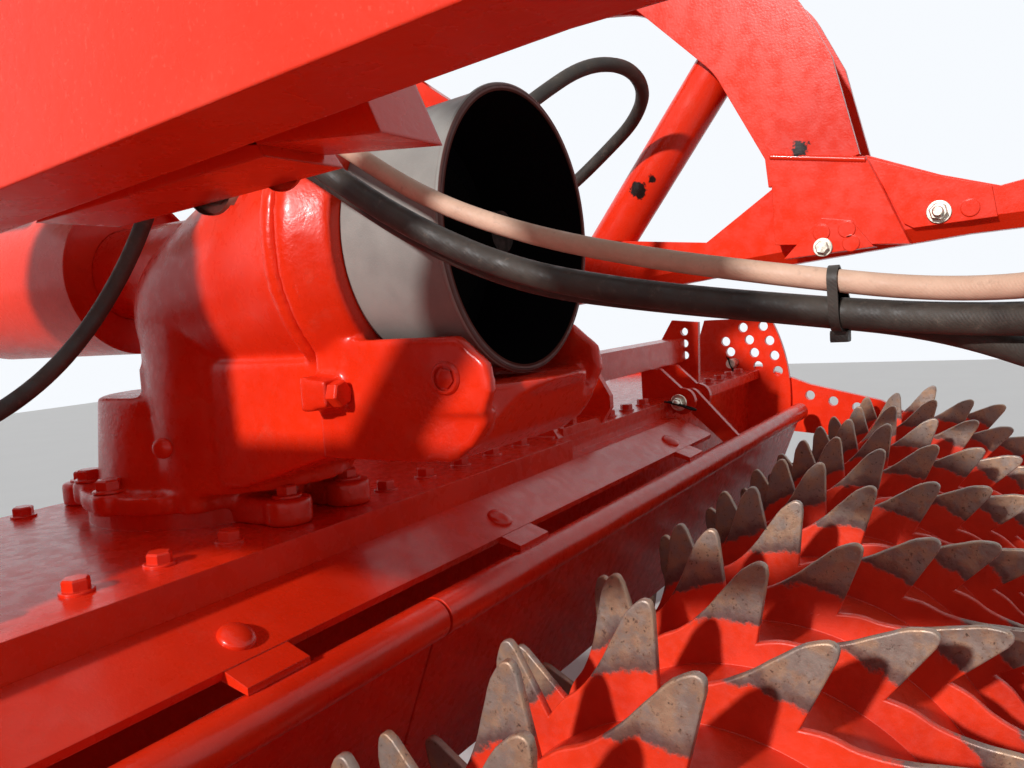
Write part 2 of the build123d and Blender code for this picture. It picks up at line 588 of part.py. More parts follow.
# Lower link brackets: the inner ear and the foot that ties it to the headstock side
inner_ear_x = HEAD_X - HEAD_T / 2 - LINK_GAP - LINK_EAR_T / 2
for side, sign in SIDES:
    with BuildPart() as link:
        with BuildSketch(side_plane(sign * inner_ear_x)):
            Polygon((LINK_FOOT_U, LID_TOP), (LINK_FOOT_U, LID_TOP + LINK_WEB_T),
                    (-LID_HALF, LID_TOP + LINK_HEIGHT), (EAR_ROOT_U, LID_TOP + LINK_HEIGHT),
                    (ear_u, LINK_Z + LINK_NOSE_R), (ear_u, LINK_Z - LINK_NOSE_R), (EAR_ROOT_U, ear_low),
                    (lid_front, ear_low), (lid_front, LID_TOP), align=None)
            with Locations((ear_u, LINK_Z)):
                Circle(LINK_NOSE_R)
                Circle(LINK_R, mode=Mode.SUBTRACT)
        extrude(amount=LINK_EAR_T / 2, both=True)
        with BuildSketch(side_plane(sign * (inner_ear_x + LINK_EAR_T / 2))):
            Polygon((LINK_FOOT_U, LID_TOP), (LINK_FOOT_U, LID_TOP + LINK_WEB_T),
                    (EAR_ROOT_U, LID_TOP + LINK_WEB_T), (EAR_ROOT_U, ear_low + 2 * LINK_WEB_T),
                    (lid_front, ear_low), (lid_front, LID_TOP), align=None)
        extrude(amount=sign * LINK_GAP)
    save(link, f"lower_link_bracket_{side}")

# Mast: cross tube between the headstock sides, and the top-link ears round its middle
with BuildPart() as mast:
    with BuildSketch(side_plane(0)):
        with Locations((MAST_U, MAST_Z)):
            Circle(MAST_R)
    extrude(amount=HEAD_X - HEAD_T / 2, both=True)
save(mast, "headstock_mast")

top_ear_x = (TOP_GAP + TOP_EAR_T) / 2
with BuildPart() as top_ears:
    for shift in (top_ear_x, -top_ear_x):
        with BuildSketch(side_plane(shift)):
            Polygon((MAST_U, MAST_Z - TOP_EAR_EYE_R), (MAST_U, MAST_Z + TOP_EAR_EYE_R),
                    (TOP_LINK_U, TOP_LINK_Z + TOP_EAR_NOSE_R), (TOP_LINK_U, TOP_LINK_Z - TOP_EAR_NOSE_R),
                    align=None)
            with Locations((MAST_U, MAST_Z)):
                Circle(TOP_EAR_EYE_R)
                Circle(MAST_R + SEAT_GAP, mode=Mode.SUBTRACT)
            with Locations((TOP_LINK_U, TOP_LINK_Z)):
                Circle(TOP_EAR_NOSE_R)
                Circle(TOP_LINK_R, mode=Mode.SUBTRACT)
        extrude(amount=TOP_EAR_T / 2, both=True)
save(top_ears, "top_link_ears")

# Drill arms: from the headstock back over the roller to the rear eye, folded in along the inner lower edge
ARM_X = HEAD_X + HEAD_T / 2 + ARM_W / 2
pin_u = REAR_REACH - ARM_NOSE_R
arm_profile = (*ARM_UNDER, (pin_u, ARM_PIN_Z - ARM_NOSE_R), (pin_u, ARM_PIN_Z + ARM_NOSE_R), *ARM_TOP)
for side, sign in SIDES:
    with BuildPart() as arm:
        with BuildSketch(side_plane(sign * ARM_X)):
            Polygon(*arm_profile, align=None)
        extrude(amount=ARM_W / 2, both=True)
        under = arm.edges().filter_by(Axis.X, reverse=True).filter_by(
            lambda edge: edge.center().Z < ARM_PIN_Z - ARM_NOSE_R and edge.center().Y > TROUGH_Y + ARM_UNDER[0][0])
        inner = [edge for edge in under if abs(edge.center().X) < ARM_X]
        chamfer(inner, length=ARM_FOLD)
        with BuildSketch(side_plane(sign * ARM_X)):
            with Locations((pin_u, ARM_PIN_Z)):
                Circle(ARM_NOSE_R)
        extrude(amount=ARM_W / 2, both=True)
        with BuildSketch(side_plane(sign * ARM_X)):
            with Locations((pin_u, ARM_PIN_Z)):
                Circle(ARM_PIN_R)
        extrude(amount=ARM_W / 2, both=True, mode=Mode.SUBTRACT)
    save(arm, f"drill_arm_{side}")

# Swan necks: two plates with webs set in between them, from the arms up and forwards to the headstock
neck_rear_bends = (NECK_OUTLINE[3], NECK_OUTLINE[4])
neck_under_bends = (NECK_OUTLINE[10], NECK_OUTLINE[11])
for side, sign in SIDES:
    with BuildPart() as neck:
        for width, inset in ((NECK_W, 0), (NECK_W - 2 * NECK_PLATE_T, NECK_RIM)):
            with BuildSketch(side_plane(sign * ARM_X), mode=Mode.PRIVATE) as outline:
                Polygon(*NECK_OUTLINE, align=None)
                bends = [corner for corner in outline.vertices()
                         if (round(corner.X, 1), round(corner.Y, 1)) in neck_rear_bends + neck_under_bends]
                fillet(bends, radius=NECK_BEND_R)
            if inset == 0:
                for shift in (width / 2 - NECK_PLATE_T, -width / 2):
                    with BuildSketch(side_plane(sign * ARM_X + shift)):
                        add(outline.sketch_local)
                    extrude(amount=NECK_PLATE_T)
            else:
                with BuildSketch(side_plane(sign * ARM_X)):
                    add(outline.sketch_local)
                    offset(amount=-inset, kind=Kind.INTERSECTION, mode=Mode.REPLACE)
                extrude(amount=width / 2, both=True)
        with BuildSketch(side_plane(sign * ARM_X)):
            Polygon(*arm_profile, align=None)
        extrude(amount=NECK_W / 2, both=True, mode=Mode.SUBTRACT)
        with BuildSketch(side_plane(sign * (ARM_X - ARM_W / 2))):
            Polygon(*FOOT_PLATE, align=None)
        extrude(amount=-sign * FOOT_PLATE_T)
    save(neck, f"swan_neck_{side}")

# Braces between the arms and the swan necks, their ends cut to sit on both
BRACE_FOOT = (250.0, 860.0)
BRACE_HEAD = (436.0, 1100.0)
brace_run = sqrt((BRACE_HEAD[0] - BRACE_FOOT[0]) ** 2 + (BRACE_HEAD[1] - BRACE_FOOT[1]) ** 2)
brace_axis = (0, (BRACE_HEAD[0] - BRACE_FOOT[0]) / brace_run, (BRACE_HEAD[1] - BRACE_FOOT[1]) / brace_run)
with BuildPart() as braces:
    for side, sign in SIDES:
        with BuildSketch(Plane(origin=(sign * ARM_X, TROUGH_Y + BRACE_FOOT[0], BRACE_FOOT[1]), z_dir=brace_axis)):
            Circle(BRACE_R)
        extrude(amount=brace_run)
    for profile in (arm_profile, NECK_OUTLINE):
        with BuildSketch(side_plane(0)):
            Polygon(*profile, align=None)
        extrude(amount=ARM_X + NECK_W, both=True, mode=Mode.SUBTRACT)
save(braces, "brace_tubes")

# End plates: close the trough's ends and carry the roller arm's pivot and its stop holes
for side, sign in SIDES:
    with BuildPart() as end_plate:
        with BuildSketch(side_plane(sign * END_X)):
            with BuildLine():
                edge = [(PIVOT_U + sqrt(SECTOR_R ** 2 - (z - PIVOT_Z) ** 2), z)
                        for z in (SECTOR_TOP, (SECTOR_TOP + SECTOR_LOW) / 2, SECTOR_LOW)]
                ThreePointArc(*edge)
                Polyline(edge[-1], *END_OUTLINE, (SECTOR_FRONT, SECTOR_TOP), edge[0])
            make_face()
            with Locations((PIVOT_U, PIVOT_Z)):
                Circle(PIVOT_R + RUNNING_GAP, mode=Mode.SUBTRACT)
            for hole_radius, first, count in STOP_HOLES:
                with Locations((PIVOT_U, PIVOT_Z)):
                    with PolarLocations(hole_radius, count, start_angle=first, angular_range=count * STOP_STEP):
                        Circle(STOP_PIN_R + RUNNING_GAP, mode=Mode.SUBTRACT)
        extrude(amount=END_T / 2, both=True)
        for lug_u in DEFLECTOR_LUGS:
            with BuildSketch(cross_plane(lug_u)):
                with Locations((-sign * (TROUGH_END + DEFLECTOR_X) / 2, DEFLECTOR_HINGE_Z)):
                    Rectangle(DEFLECTOR_X - TROUGH_END, 2 * DEFLECTOR_EYE_R)
                with Locations((-sign * DEFLECTOR_X, DEFLECTOR_HINGE_Z)):
                    Circle(DEFLECTOR_EYE_R)
                    Circle(DEFLECTOR_PIN_R + RUNNING_GAP, mode=Mode.SUBTRACT)
            extrude(amount=DEFLECTOR_LUG_T)
    save(end_plate, f"end_plate_{side}")

# Roller arms: from the pivot back to the roller's bearing
for side, sign in SIDES:
    with BuildPart() as roller_arm:
        with BuildSketch(side_plane(sign * ARM_PLATE_X)):
            Polygon((PIVOT_U - 46, PIVOT_Z - 46), (PIVOT_U - 46, PIVOT_Z + 40), (PIVOT_U, PIVOT_Z + 60),
                    (STOP_PIN_U - 60, STOP_PIN_Z - STOP_PIN_R - RUNNING_GAP),
                    (STOP_PIN_U + 60, STOP_PIN_Z - STOP_PIN_R - RUNNING_GAP), *ARM_CREST,
                    (SCRAPER_U + SCRAPER_BEAM / 2, SCRAPER_Z + SCRAPER_BEAM / 2),
                    (SCRAPER_U + SCRAPER_BEAM / 2, SCRAPER_Z - SCRAPER_BEAM / 2), *ARM_BELLY,
                    (PIVOT_U, PIVOT_Z - 60), align=None)
            with Locations((ROLLER_U, ROLLER_Z)):
                Circle(ROLLER_SHAFT_R + RUNNING_GAP, mode=Mode.SUBTRACT)
            with Locations(*ARM_HOLES):
                Circle(STOP_PIN_R, mode=Mode.SUBTRACT)
        extrude(amount=ARM_PLATE_T / 2, both=True)
        with BuildSketch(side_plane(sign * (ARM_PLATE_X + ARM_PLATE_T / 2))):
            with Locations((ROLLER_U, ROLLER_Z)):
                Circle(BEARING_R)
        extrude(amount=sign * BEARING_T)
        with BuildSketch(side_plane(sign * (ARM_PLATE_X - ARM_PLATE_T / 2))):
            with Locations((PIVOT_U, PIVOT_Z)):
                Circle(PIVOT_R)
        extrude(amount=-sign * (END_T - RUNNING_GAP))
    save(roller_arm, f"roller_arm_{side}")

# Scraper beam behind the roller, with a finger between each pair of rings
ring_stations = [RING_SHIFT + (i - (RING_COUNT - 1) / 2) * RING_PITCH for i in range(RING_COUNT)]
arm_gap = 2 * (ARM_PLATE_X - ARM_PLATE_T / 2)
finger_stations = [x + RING_PITCH / 2 for x in ring_stations[:-1]]
beam_front = SCRAPER_U - SCRAPER_BEAM / 2
finger_tip_u = ROLLER_U + DRUM_R + FINGER_GAP
with BuildPart() as scraper:
    for x in finger_stations:
        with BuildSketch(side_plane(x)):
            Polygon((finger_tip_u, ROLLER_Z), (finger_tip_u + FINGER_T, ROLLER_Z + 2 * FINGER_T),
                    (beam_front + FINGER_ROOT, SCRAPER_Z), (beam_front + FINGER_ROOT, SCRAPER_Z - FINGER_T), align=None)
    extrude(amount=FINGER_W / 2, both=True)
    with Locations((0, TROUGH_Y + SCRAPER_U, SCRAPER_Z)):
        Box(arm_gap, SCRAPER_BEAM, SCRAPER_BEAM)
save(scraper, "scraper_beam")

# Packer roller: hollow drum on stub shafts, with rings of saw teeth
tooth_step = 360 / TOOTH_COUNT
shaft_end = ARM_PLATE_X + ARM_PLATE_T / 2 - RUNNING_GAP
with BuildPart() as roller:
    for ring, x in enumerate(ring_stations):
        points = []
        for tooth in range(TOOTH_COUNT):
            for lead, height in TOOTH_SHAPE:
                angle = radians(FIRST_TOOTH + ring * RING_TWIST + (tooth + lead) * tooth_step)
                radius = TOOTH_ROOT_R + height * (ROLLER_R - TOOTH_ROOT_R)
                points.append((ROLLER_U + radius * cos(angle), ROLLER_Z + radius * sin(angle)))
        with BuildSketch(side_plane(x)):
            Polygon(*points, align=None)
            with Locations((ROLLER_U, ROLLER_Z)):
                RegularPolygon(DRUM_R - DRUM_WALL / 2, DRUM_SIDES, mode=Mode.SUBTRACT)
    extrude(amount=RING_T / 2, both=True)
    for half_length, radius, mode in ((DRUM_HALF, DRUM_R, Mode.ADD),
                                      (DRUM_HALF - DRUM_WALL, DRUM_R - DRUM_WALL, Mode.SUBTRACT)):
        with BuildSketch(side_plane(0)):
            with Locations((ROLLER_U, ROLLER_Z)):
                RegularPolygon(radius, DRUM_SIDES)
        extrude(amount=half_length, both=True, mode=mode)
    for sign in (1, -1):
        with BuildSketch(side_plane(sign * (DRUM_HALF - DRUM_WALL))):
            with Locations((ROLLER_U, ROLLER_Z)):
                Circle(ROLLER_SHAFT_R)
        extrude(amount=sign * (shaft_end - DRUM_HALF + DRUM_WALL))
save(roller, "packer_roller")

# Stop pins through the end plates, above the roller arms
with BuildPart() as pins:
    for side, sign in SIDES:
        with BuildSketch(side_plane(sign * (ARM_PLATE_X + ARM_PLATE_T / 2 + 2 * STOP_PIN_R))):
            with Locations((STOP_PIN_U, STOP_PIN_Z)):
                Circle(STOP_PIN_R)
        extrude(amount=-sign * STOP_PIN_LENGTH)
save(pins, "depth_pins")

# Board brackets: rail, hole plate and a pair of cheeks on each side of the lid's rear edge
with BuildPart() as board_brackets:
    for side, sign in SIDES:
        rail_start = FOOT_PLATE_X + FOOT_T / 2
        rail_end = HOLE_PLATE_X - FOOT_T / 2
        with Locations((sign * (rail_start + rail_end) / 2, TROUGH_Y + RAIL_U, RAIL_Z)):
            Box(rail_end - rail_start, RAIL_SIZE, RAIL_SIZE)
        with BuildSketch(side_plane(sign * HOLE_PLATE_X)):
            Polygon((RAIL_U - 70, LID_TOP), (LID_HALF - 10, LID_TOP), (LID_HALF - 5, HOLE_PLATE_HOLES[-1] + 18),
                    (LID_HALF - 60, HOLE_PLATE_HOLES[-1] + 24), (RAIL_U - 40, RAIL_Z), align=None)
            with Locations(*[(RAIL_U + RAIL_SIZE / 2, z) for z in HOLE_PLATE_HOLES]):
                Circle(FOOT_PIN_R - 3, mode=Mode.SUBTRACT)
        extrude(amount=FOOT_T / 2, both=True)
        for cheek_x in BOARD_CHEEKS:
            with BuildSketch(side_plane(sign * cheek_x)):
                Polygon((RAIL_U, LID_TOP), (RAIL_U, RAIL_Z - RAIL_SIZE / 2), (LID_HALF - 20, RAIL_Z - RAIL_SIZE / 2),
                        (BOARD_PIVOT_U + BOARD_EYE_R, BOARD_PIVOT_Z), (LID_HALF, BOARD_PIVOT_Z - BOARD_EYE_R),
                        (LID_HALF, LID_TOP), align=None)
                with Locations((BOARD_PIVOT_U, BOARD_PIVOT_Z)):
                    Circle(BOARD_EYE_R)
                with Locations((LID_HALF / 2, LID_TOP - LID_HALF / 2)):
                    Rectangle(LID_HALF, LID_HALF, mode=Mode.SUBTRACT)
                with Locations((BOARD_PIVOT_U, BOARD_PIVOT_Z)):
                    Circle(BOARD_PIN_R + SEAT_GAP, mode=Mode.SUBTRACT)
            extrude(amount=CHEEK_T / 2, both=True)
save(board_brackets, "board_brackets")

# Board arms: flat bars from the brackets' pins down to the levelling board's tube
with BuildPart() as board_arms:
    for side, sign in SIDES:
        board_arm_x = sum(BOARD_CHEEKS) / 2
        pin_half = (BOARD_CHEEKS[1] - BOARD_CHEEKS[0]) / 2 + CHEEK_T + BOARD_PIN_R
        with BuildSketch(side_plane(sign * board_arm_x)):
            with Locations((BOARD_PIVOT_U, BOARD_PIVOT_Z)):
                Circle(BOARD_ARM_EYE_R)
            Polygon((BOARD_PIVOT_U - BOARD_ARM_EYE_R * 0.7, BOARD_PIVOT_Z - BOARD_ARM_EYE_R * 0.7),
                    (BOARD_PIVOT_U + BOARD_ARM_EYE_R * 0.7, BOARD_PIVOT_Z + BOARD_ARM_EYE_R * 0.7),
                    (BOARD_TUBE_U + BOARD_TUBE_R, BOARD_TUBE_Z), (BOARD_TUBE_U - BOARD_TUBE_R, BOARD_TUBE_Z),
                    align=None)
            with Locations((BOARD_TUBE_U, BOARD_TUBE_Z)):
                Circle(BOARD_TUBE_R + SEAT_GAP, mode=Mode.SUBTRACT)
        extrude(amount=CHEEK_T / 2, both=True)
        with BuildSketch(side_plane(sign * board_arm_x)):
            with Locations((BOARD_PIVOT_U, BOARD_PIVOT_Z)):
                Circle(BOARD_PIN_R)
        extrude(amount=pin_half, both=True)
save(board_arms, "board_arms")

# Side deflectors: plates outside the last rotors, hinged along their top edge
for side, sign in SIDES:
    with BuildPart() as deflector:
        with Locations((sign * DEFLECTOR_X, TROUGH_Y + DEFLECTOR_FRONT + DEFLECTOR_LENGTH / 2,
                        (DEFLECTOR_HINGE_Z + DEFLECTOR_BOTTOM) / 2)):
            Box(DEFLECTOR_T, DEFLECTOR_LENGTH, DEFLECTOR_HINGE_Z - DEFLECTOR_BOTTOM)
        for lug_u in DEFLECTOR_LUGS:
            with Locations((sign * DEFLECTOR_X, TROUGH_Y + lug_u + DEFLECTOR_LUG_T / 2, DEFLECTOR_HINGE_Z)):
                Box(DEFLECTOR_T, DEFLECTOR_LUG_T + 12, 52, mode=Mode.SUBTRACT)
        with BuildSketch(cross_plane(DEFLECTOR_FRONT)):
            with Locations((-sign * DEFLECTOR_X, DEFLECTOR_HINGE_Z)):
                Circle(DEFLECTOR_PIN_R)
        extrude(amount=DEFLECTOR_LENGTH)
    save(deflector, f"side_deflector_{side}")

# Parking stands at the front, folding sideways along the trough
stand_pin_half = STAND_TUBE / 2 + LUG_GAP + LUG_T + 5
for side, sign in SIDES:
    with BuildPart() as stand:
        with Locations((sign * STAND_X, TROUGH_Y + STAND_U, (STAND_PIVOT_Z + STAND_HEAD) / 2)):
            Box(STAND_TUBE, STAND_TUBE, STAND_PIVOT_Z + STAND_HEAD)
        with Locations((sign * STAND_X, TROUGH_Y + STAND_U, STAND_FOOT_T / 2)):
            Box(STAND_FOOT_X, STAND_FOOT_U, STAND_FOOT_T)
        with BuildSketch(cross_plane(STAND_U - stand_pin_half)):
            with Locations((-sign * STAND_X, STAND_PIVOT_Z)):
                Circle(STAND_PIN_R)
        extrude(amount=2 * stand_pin_half)
    save(stand, f"parking_stand_{side}")

# Coupling shelf on the mast, where the hoses' front plugs are parked
plug_stations = [route[0][0] for name, radius, route in HOSES]
shelf_spans = ((min(x for x in plug_stations if x > 0) - SHELF_HALF, max(plug_stations) + SHELF_HALF),
               (min(plug_stations) - SHELF_HALF, max(x for x in plug_stations if x < 0) + SOCKET_R))
with BuildPart() as shelf:
    for low_x, high_x in shelf_spans:
        shelf_front = SHELF_U - SHELF_HALF
        with Locations(((low_x + high_x) / 2, TROUGH_Y + (shelf_front + SHELF_BACK) / 2, SHELF_Z - SHELF_T / 2)):
            Box(high_x - low_x, SHELF_BACK - shelf_front, SHELF_T)
        with Locations(((low_x + high_x) / 2, TROUGH_Y + SHELF_BACK - SHELF_T / 2, (SHELF_Z - SHELF_T + MAST_Z) / 2)):
            Box(high_x - low_x, SHELF_T, MAST_Z - SHELF_Z + SHELF_T)
    with BuildSketch(level_plane(SHELF_Z)):
        with Locations(*[(x, SHELF_U) for x in plug_stations]):
            Circle(SOCKET_R)
    extrude(amount=SOCKET_L)
    with BuildSketch(level_plane(SHELF_Z + SOCKET_L)):
        with Locations(*[(x, SHELF_U) for x in plug_stations]):
            Circle(PLUG_R)
    extrude(amount=PLUG_TOP - SHELF_Z - SOCKET_L)
save(shelf, "front_coupling_shelf")

# Coupling plate on the left arm's inner face, where the drill's hoses are parked
rear_ends = [route[-1][1:] for name, radius, route in HOSES if route[-1][0] == PLUG_END_X]
plate_face = HEAD_X + HEAD_T / 2 - HOLDER_T
with BuildPart() as rear_plate:
    with BuildSketch(side_plane(plate_face)):
        low_u = min(u for u, z in rear_ends) - 2 * HOLDER_T
        high_u = max(u for u, z in rear_ends) + 2 * HOLDER_T
        low_z = min(z for u, z in rear_ends) - 2 * HOLDER_T
        Polygon((low_u, low_z), (high_u, low_z), (high_u, ARM_PIN_Z - 2 * HOLDER_T), (low_u, ARM_PIN_Z - 2 * HOLDER_T),
                align=None)
    extrude(amount=HOLDER_T)
    with BuildSketch(side_plane(plate_face)):
        with Locations(*rear_ends):
            Circle(SOCKET_R)
    extrude(amount=-SOCKET_L)
    with BuildSketch(side_plane(plate_face - SOCKET_L)):
        with Locations(*rear_ends):
            Circle(PLUG_R)
    extrude(amount=PLUG_END_X - plate_face + SOCKET_L)
save(rear_plate, "rear_coupling_plate")

# Hoses: tubes along their routes, rounded at each corner
for name, radius, route in HOSES:
    points = [Vector(x, TROUGH_Y + u, z) for x, u, z in route]
    radii = []
    for before, corner, after in zip(points, points[1:], points[2:]):
        turn = (corner - before).get_angle(after - corner)
        radii.append(ARC_SHARE * min((corner - before).length, (after - corner).length) / tan(radians(turn) / 2))
    with BuildPart() as hose:
        with BuildLine() as path:
            FilletPolyline(*points, radius=radii)
        with BuildSketch(Plane(origin=points[0], z_dir=points[1] - points[0])):
            Circle(radius)
        sweep()
    section = pi * radius ** 2
    length = path.wires()[0].length
    print(name, "length", round(length), "bend radii", [round(bend) for bend in radii],
          "volume over section times length", round(hose.part.volume / (section * length), 4))
    save(hose, name)
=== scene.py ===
# %% [markdown]
# # A power harrow with a tooth packer roller, seen from close behind
#
# This lesson dresses a finished steel frame. Every solid of the harrow comes ready made and in place, so
# what is left for Blender is what the eye judges: paint that shines, teeth worn down to bare steel, hoses
# that hang, a casting with soft corners.

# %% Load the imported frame
import json
from math import atan2, cos, degrees, pi, radians, sin, tan
import bmesh
import bpy
from mathutils import Matrix, Vector, geometry


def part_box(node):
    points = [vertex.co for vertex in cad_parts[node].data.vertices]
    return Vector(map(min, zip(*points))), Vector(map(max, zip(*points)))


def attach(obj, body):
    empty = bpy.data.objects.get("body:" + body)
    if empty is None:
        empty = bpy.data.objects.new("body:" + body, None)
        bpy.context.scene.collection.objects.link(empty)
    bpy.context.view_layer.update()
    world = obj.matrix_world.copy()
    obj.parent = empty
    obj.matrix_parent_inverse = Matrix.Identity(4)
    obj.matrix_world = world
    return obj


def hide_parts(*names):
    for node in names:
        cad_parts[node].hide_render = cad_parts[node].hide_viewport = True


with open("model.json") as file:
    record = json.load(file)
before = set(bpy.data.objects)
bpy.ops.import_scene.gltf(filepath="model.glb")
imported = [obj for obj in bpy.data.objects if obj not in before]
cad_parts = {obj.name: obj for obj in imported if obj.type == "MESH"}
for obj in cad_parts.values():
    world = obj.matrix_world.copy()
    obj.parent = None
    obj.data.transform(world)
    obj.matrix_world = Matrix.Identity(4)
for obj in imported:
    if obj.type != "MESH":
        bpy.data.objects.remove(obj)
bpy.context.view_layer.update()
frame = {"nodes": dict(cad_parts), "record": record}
print("nodes in the frame:", len(frame["nodes"]))

# %% [markdown]
# ## Places on the machine
#
# The frame's own axes are x to the machine's left, y to the rear and z up, in metres. A harrow is drawn from
# the middle of its gear trough, in millimetres, so one small helper turns a drawing place (x, u, z) into a
# frame place. u is measured rearwards from the middle of the trough. A second helper puts an object into the
# scene.

# %% Helpers for places and objects
MM = 0.001
TROUGH_Y = -0.185
LID_TOP = 615.0


def at(x, u, z):
    """A drawing place in millimetres as a place in the frame."""
    return Vector((x * MM, TROUGH_Y + u * MM, z * MM))


def in_scene(name, data):
    """A new object with that data, linked to the scene."""
    made = bpy.data.objects.new(name, data)
    bpy.context.scene.collection.objects.link(made)
    return made


print("middle of the lid:", at(0, 0, LID_TOP))

# %% [markdown]
# ## The camera
#
# The picture is taken from arm's length, low over the left half of the roller, looking forwards and across
# the machine. A close wide view makes the near drill arm huge and the far end small, and no long lens could
# give that. Its field fits the lines of the lid and the roller's rings.

# %% Camera
CAMERA_PLACE = at(630, 776, 805)
CAMERA_TURN = (84.971, 3.696, 121.071)
FIELD_PIXELS = 880
FRAME_PIXELS = 1024

camera_data = bpy.data.cameras.new("view")
camera_data.sensor_width = 36
camera_data.lens = camera_data.sensor_width * FIELD_PIXELS / FRAME_PIXELS
camera_data.clip_start = 0.01
camera = in_scene("view", camera_data)
camera.location = CAMERA_PLACE
camera.rotation_euler = [radians(turn) for turn in CAMERA_TURN]
bpy.context.scene.camera = camera
print("focal length in millimetres:", round(camera_data.lens, 2))

# %% [markdown]
# ## Finishes from nodes
#
# Every finish starts from the Principled shader. A number that is the same all over the surface is written
# on the shader's own socket. What changes from place to place, such as dust, a rub mark or the grain of a
# casting, comes from noise textures that are laid in the object's own space, so it stays put when a joint
# moves.

# %% Small helpers for node trees
class Finish:
    """A material under construction: its tree, its shader and short ways to add nodes."""

    def __init__(self, name, roughness, metallic=0.0, **sockets):
        self.material = bpy.data.materials.new(name)
        self.material.use_nodes = True
        self.tree = self.material.node_tree
        self.shader = self.tree.nodes["Principled BSDF"]
        self.shader.inputs["Roughness"].default_value = roughness
        self.shader.inputs["Metallic"].default_value = metallic
        for socket, value in sockets.items():
            self.shader.inputs[socket.replace("_", " ")].default_value = value
        self.place = self.add("TexCoord").outputs["Object"]

    def add(self, kind, **values):
        node = self.tree.nodes.new("ShaderNode" + kind)
        for name, value in values.items():
            setattr(node, name, value)
        return node

    def link(self, source, target):
        self.tree.links.new(source, target)

    def set(self, socket, source):
        self.link(source, self.shader.inputs[socket])

    def math(self, operation, first, second=0.0, clamp=False):
        node = self.add("Math", operation=operation, use_clamp=clamp)
        for socket, value in zip(node.inputs, (first, second)):
            if isinstance(value, (int, float)):
                socket.default_value = value
            else:
                self.link(value, socket)
        return node.outputs[0]

    def axes(self):
        """The place's x, y and z as three numbers."""
        parts = self.add("SeparateXYZ")
        self.link(self.place, parts.inputs[0])
        return tuple(parts.outputs)

    def length(self, first, second):
        """The distance whose two legs at right angles are given."""
        squares = [self.math("POWER", leg, 2.0) for leg in (first, second)]
        return self.math("SQRT", self.math("ADD", *squares))

    def noise(self, scale, detail=4.0, roughness=0.55, stretch=(1, 1, 1)):
        mapping = self.add("Mapping")
        mapping.inputs["Scale"].default_value = stretch
        self.link(self.place, mapping.inputs["Vector"])
        node = self.add("TexNoise")
        node.inputs["Scale"].default_value = scale
        node.inputs["Detail"].default_value = detail
        node.inputs["Roughness"].default_value = roughness
        self.link(mapping.outputs["Vector"], node.inputs["Vector"])
        return node.outputs["Fac"]

    def step(self, source, low, high, out_low=0.0, out_high=1.0):
        """A soft step from out_low to out_high while the source goes from low to high."""
        node = self.add("MapRange", interpolation_type="SMOOTHSTEP")
        for name, value in (("From Min", low), ("From Max", high), ("To Min", out_low), ("To Max", out_high)):
            node.inputs[name].default_value = value
        self.link(source, node.inputs["Value"])
        return node.outputs["Result"]

    def mix(self, share, first, second):
        """The first colour where the share is 0 and the second where it is 1."""
        node = self.add("Mix", data_type="RGBA")
        for socket, value in ((node.inputs[0], share), (node.inputs[6], first), (node.inputs[7], second)):
            if isinstance(value, tuple):
                socket.default_value = (*value, 1.0)
            elif isinstance(value, (int, float)):
                socket.default_value = value
            else:
                self.link(value, socket)
        return node.outputs[2]

    def bump(self, height, depth, edge=0.0):
        """Bumps of that depth in metres, on edges rounded by that radius."""
        node = self.add("Bump")
        node.inputs["Strength"].default_value = 1.0
        node.inputs["Distance"].default_value = depth
        self.link(height, node.inputs["Height"])
        if edge:
            rounded = self.add("Bevel", samples=6)
            rounded.inputs["Radius"].default_value = edge
            self.link(rounded.outputs["Normal"], node.inputs["Normal"])
        self.set("Normal", node.outputs["Normal"])


# %% [markdown]
# ### Orange-red gloss paint
#
# The plate parts are powder coated: a thick even gloss with a faint orange-peel ripple that rounds every
# edge, under a thin film of dust. A clear coat over a slightly rougher colour gives that depth. The Bevel
# node rounds the edges for the light alone, so the solids keep their exact size.

# %% Paint on plates and tubes
PAINT_RED = (0.80, 0.030, 0.006)
PAINT_DEEP = (0.66, 0.020, 0.004)
DUST = (0.42, 0.25, 0.17)
SCUFF_BLACK = (0.012, 0.006, 0.005)
SCUFF_FADE = 0.003
# Columns: place, radius in metres. Black scuffs where the far neck and brace have been rubbed
SCUFFS = ((at(-450, 532, 966), 0.020), (at(-464, 321, 946), 0.021), (at(-464, 342, 958), 0.014))


def scuffed(finish):
    """1 on the scuffs and 0 elsewhere, with ragged edges."""
    ragged = finish.math("MULTIPLY", finish.noise(140, 5, 0.7), 0.022)
    marks = 0.0
    for place, radius in SCUFFS:
        apart = finish.add("VectorMath", operation="DISTANCE")
        finish.link(finish.place, apart.inputs[0])
        apart.inputs[1].default_value = place
        reach = finish.math("ADD", apart.outputs["Value"], ragged)
        spot = finish.step(reach, radius, radius + SCUFF_FADE, 1.0, 0.0)
        marks = finish.math("MAXIMUM", spot, marks)
    return marks


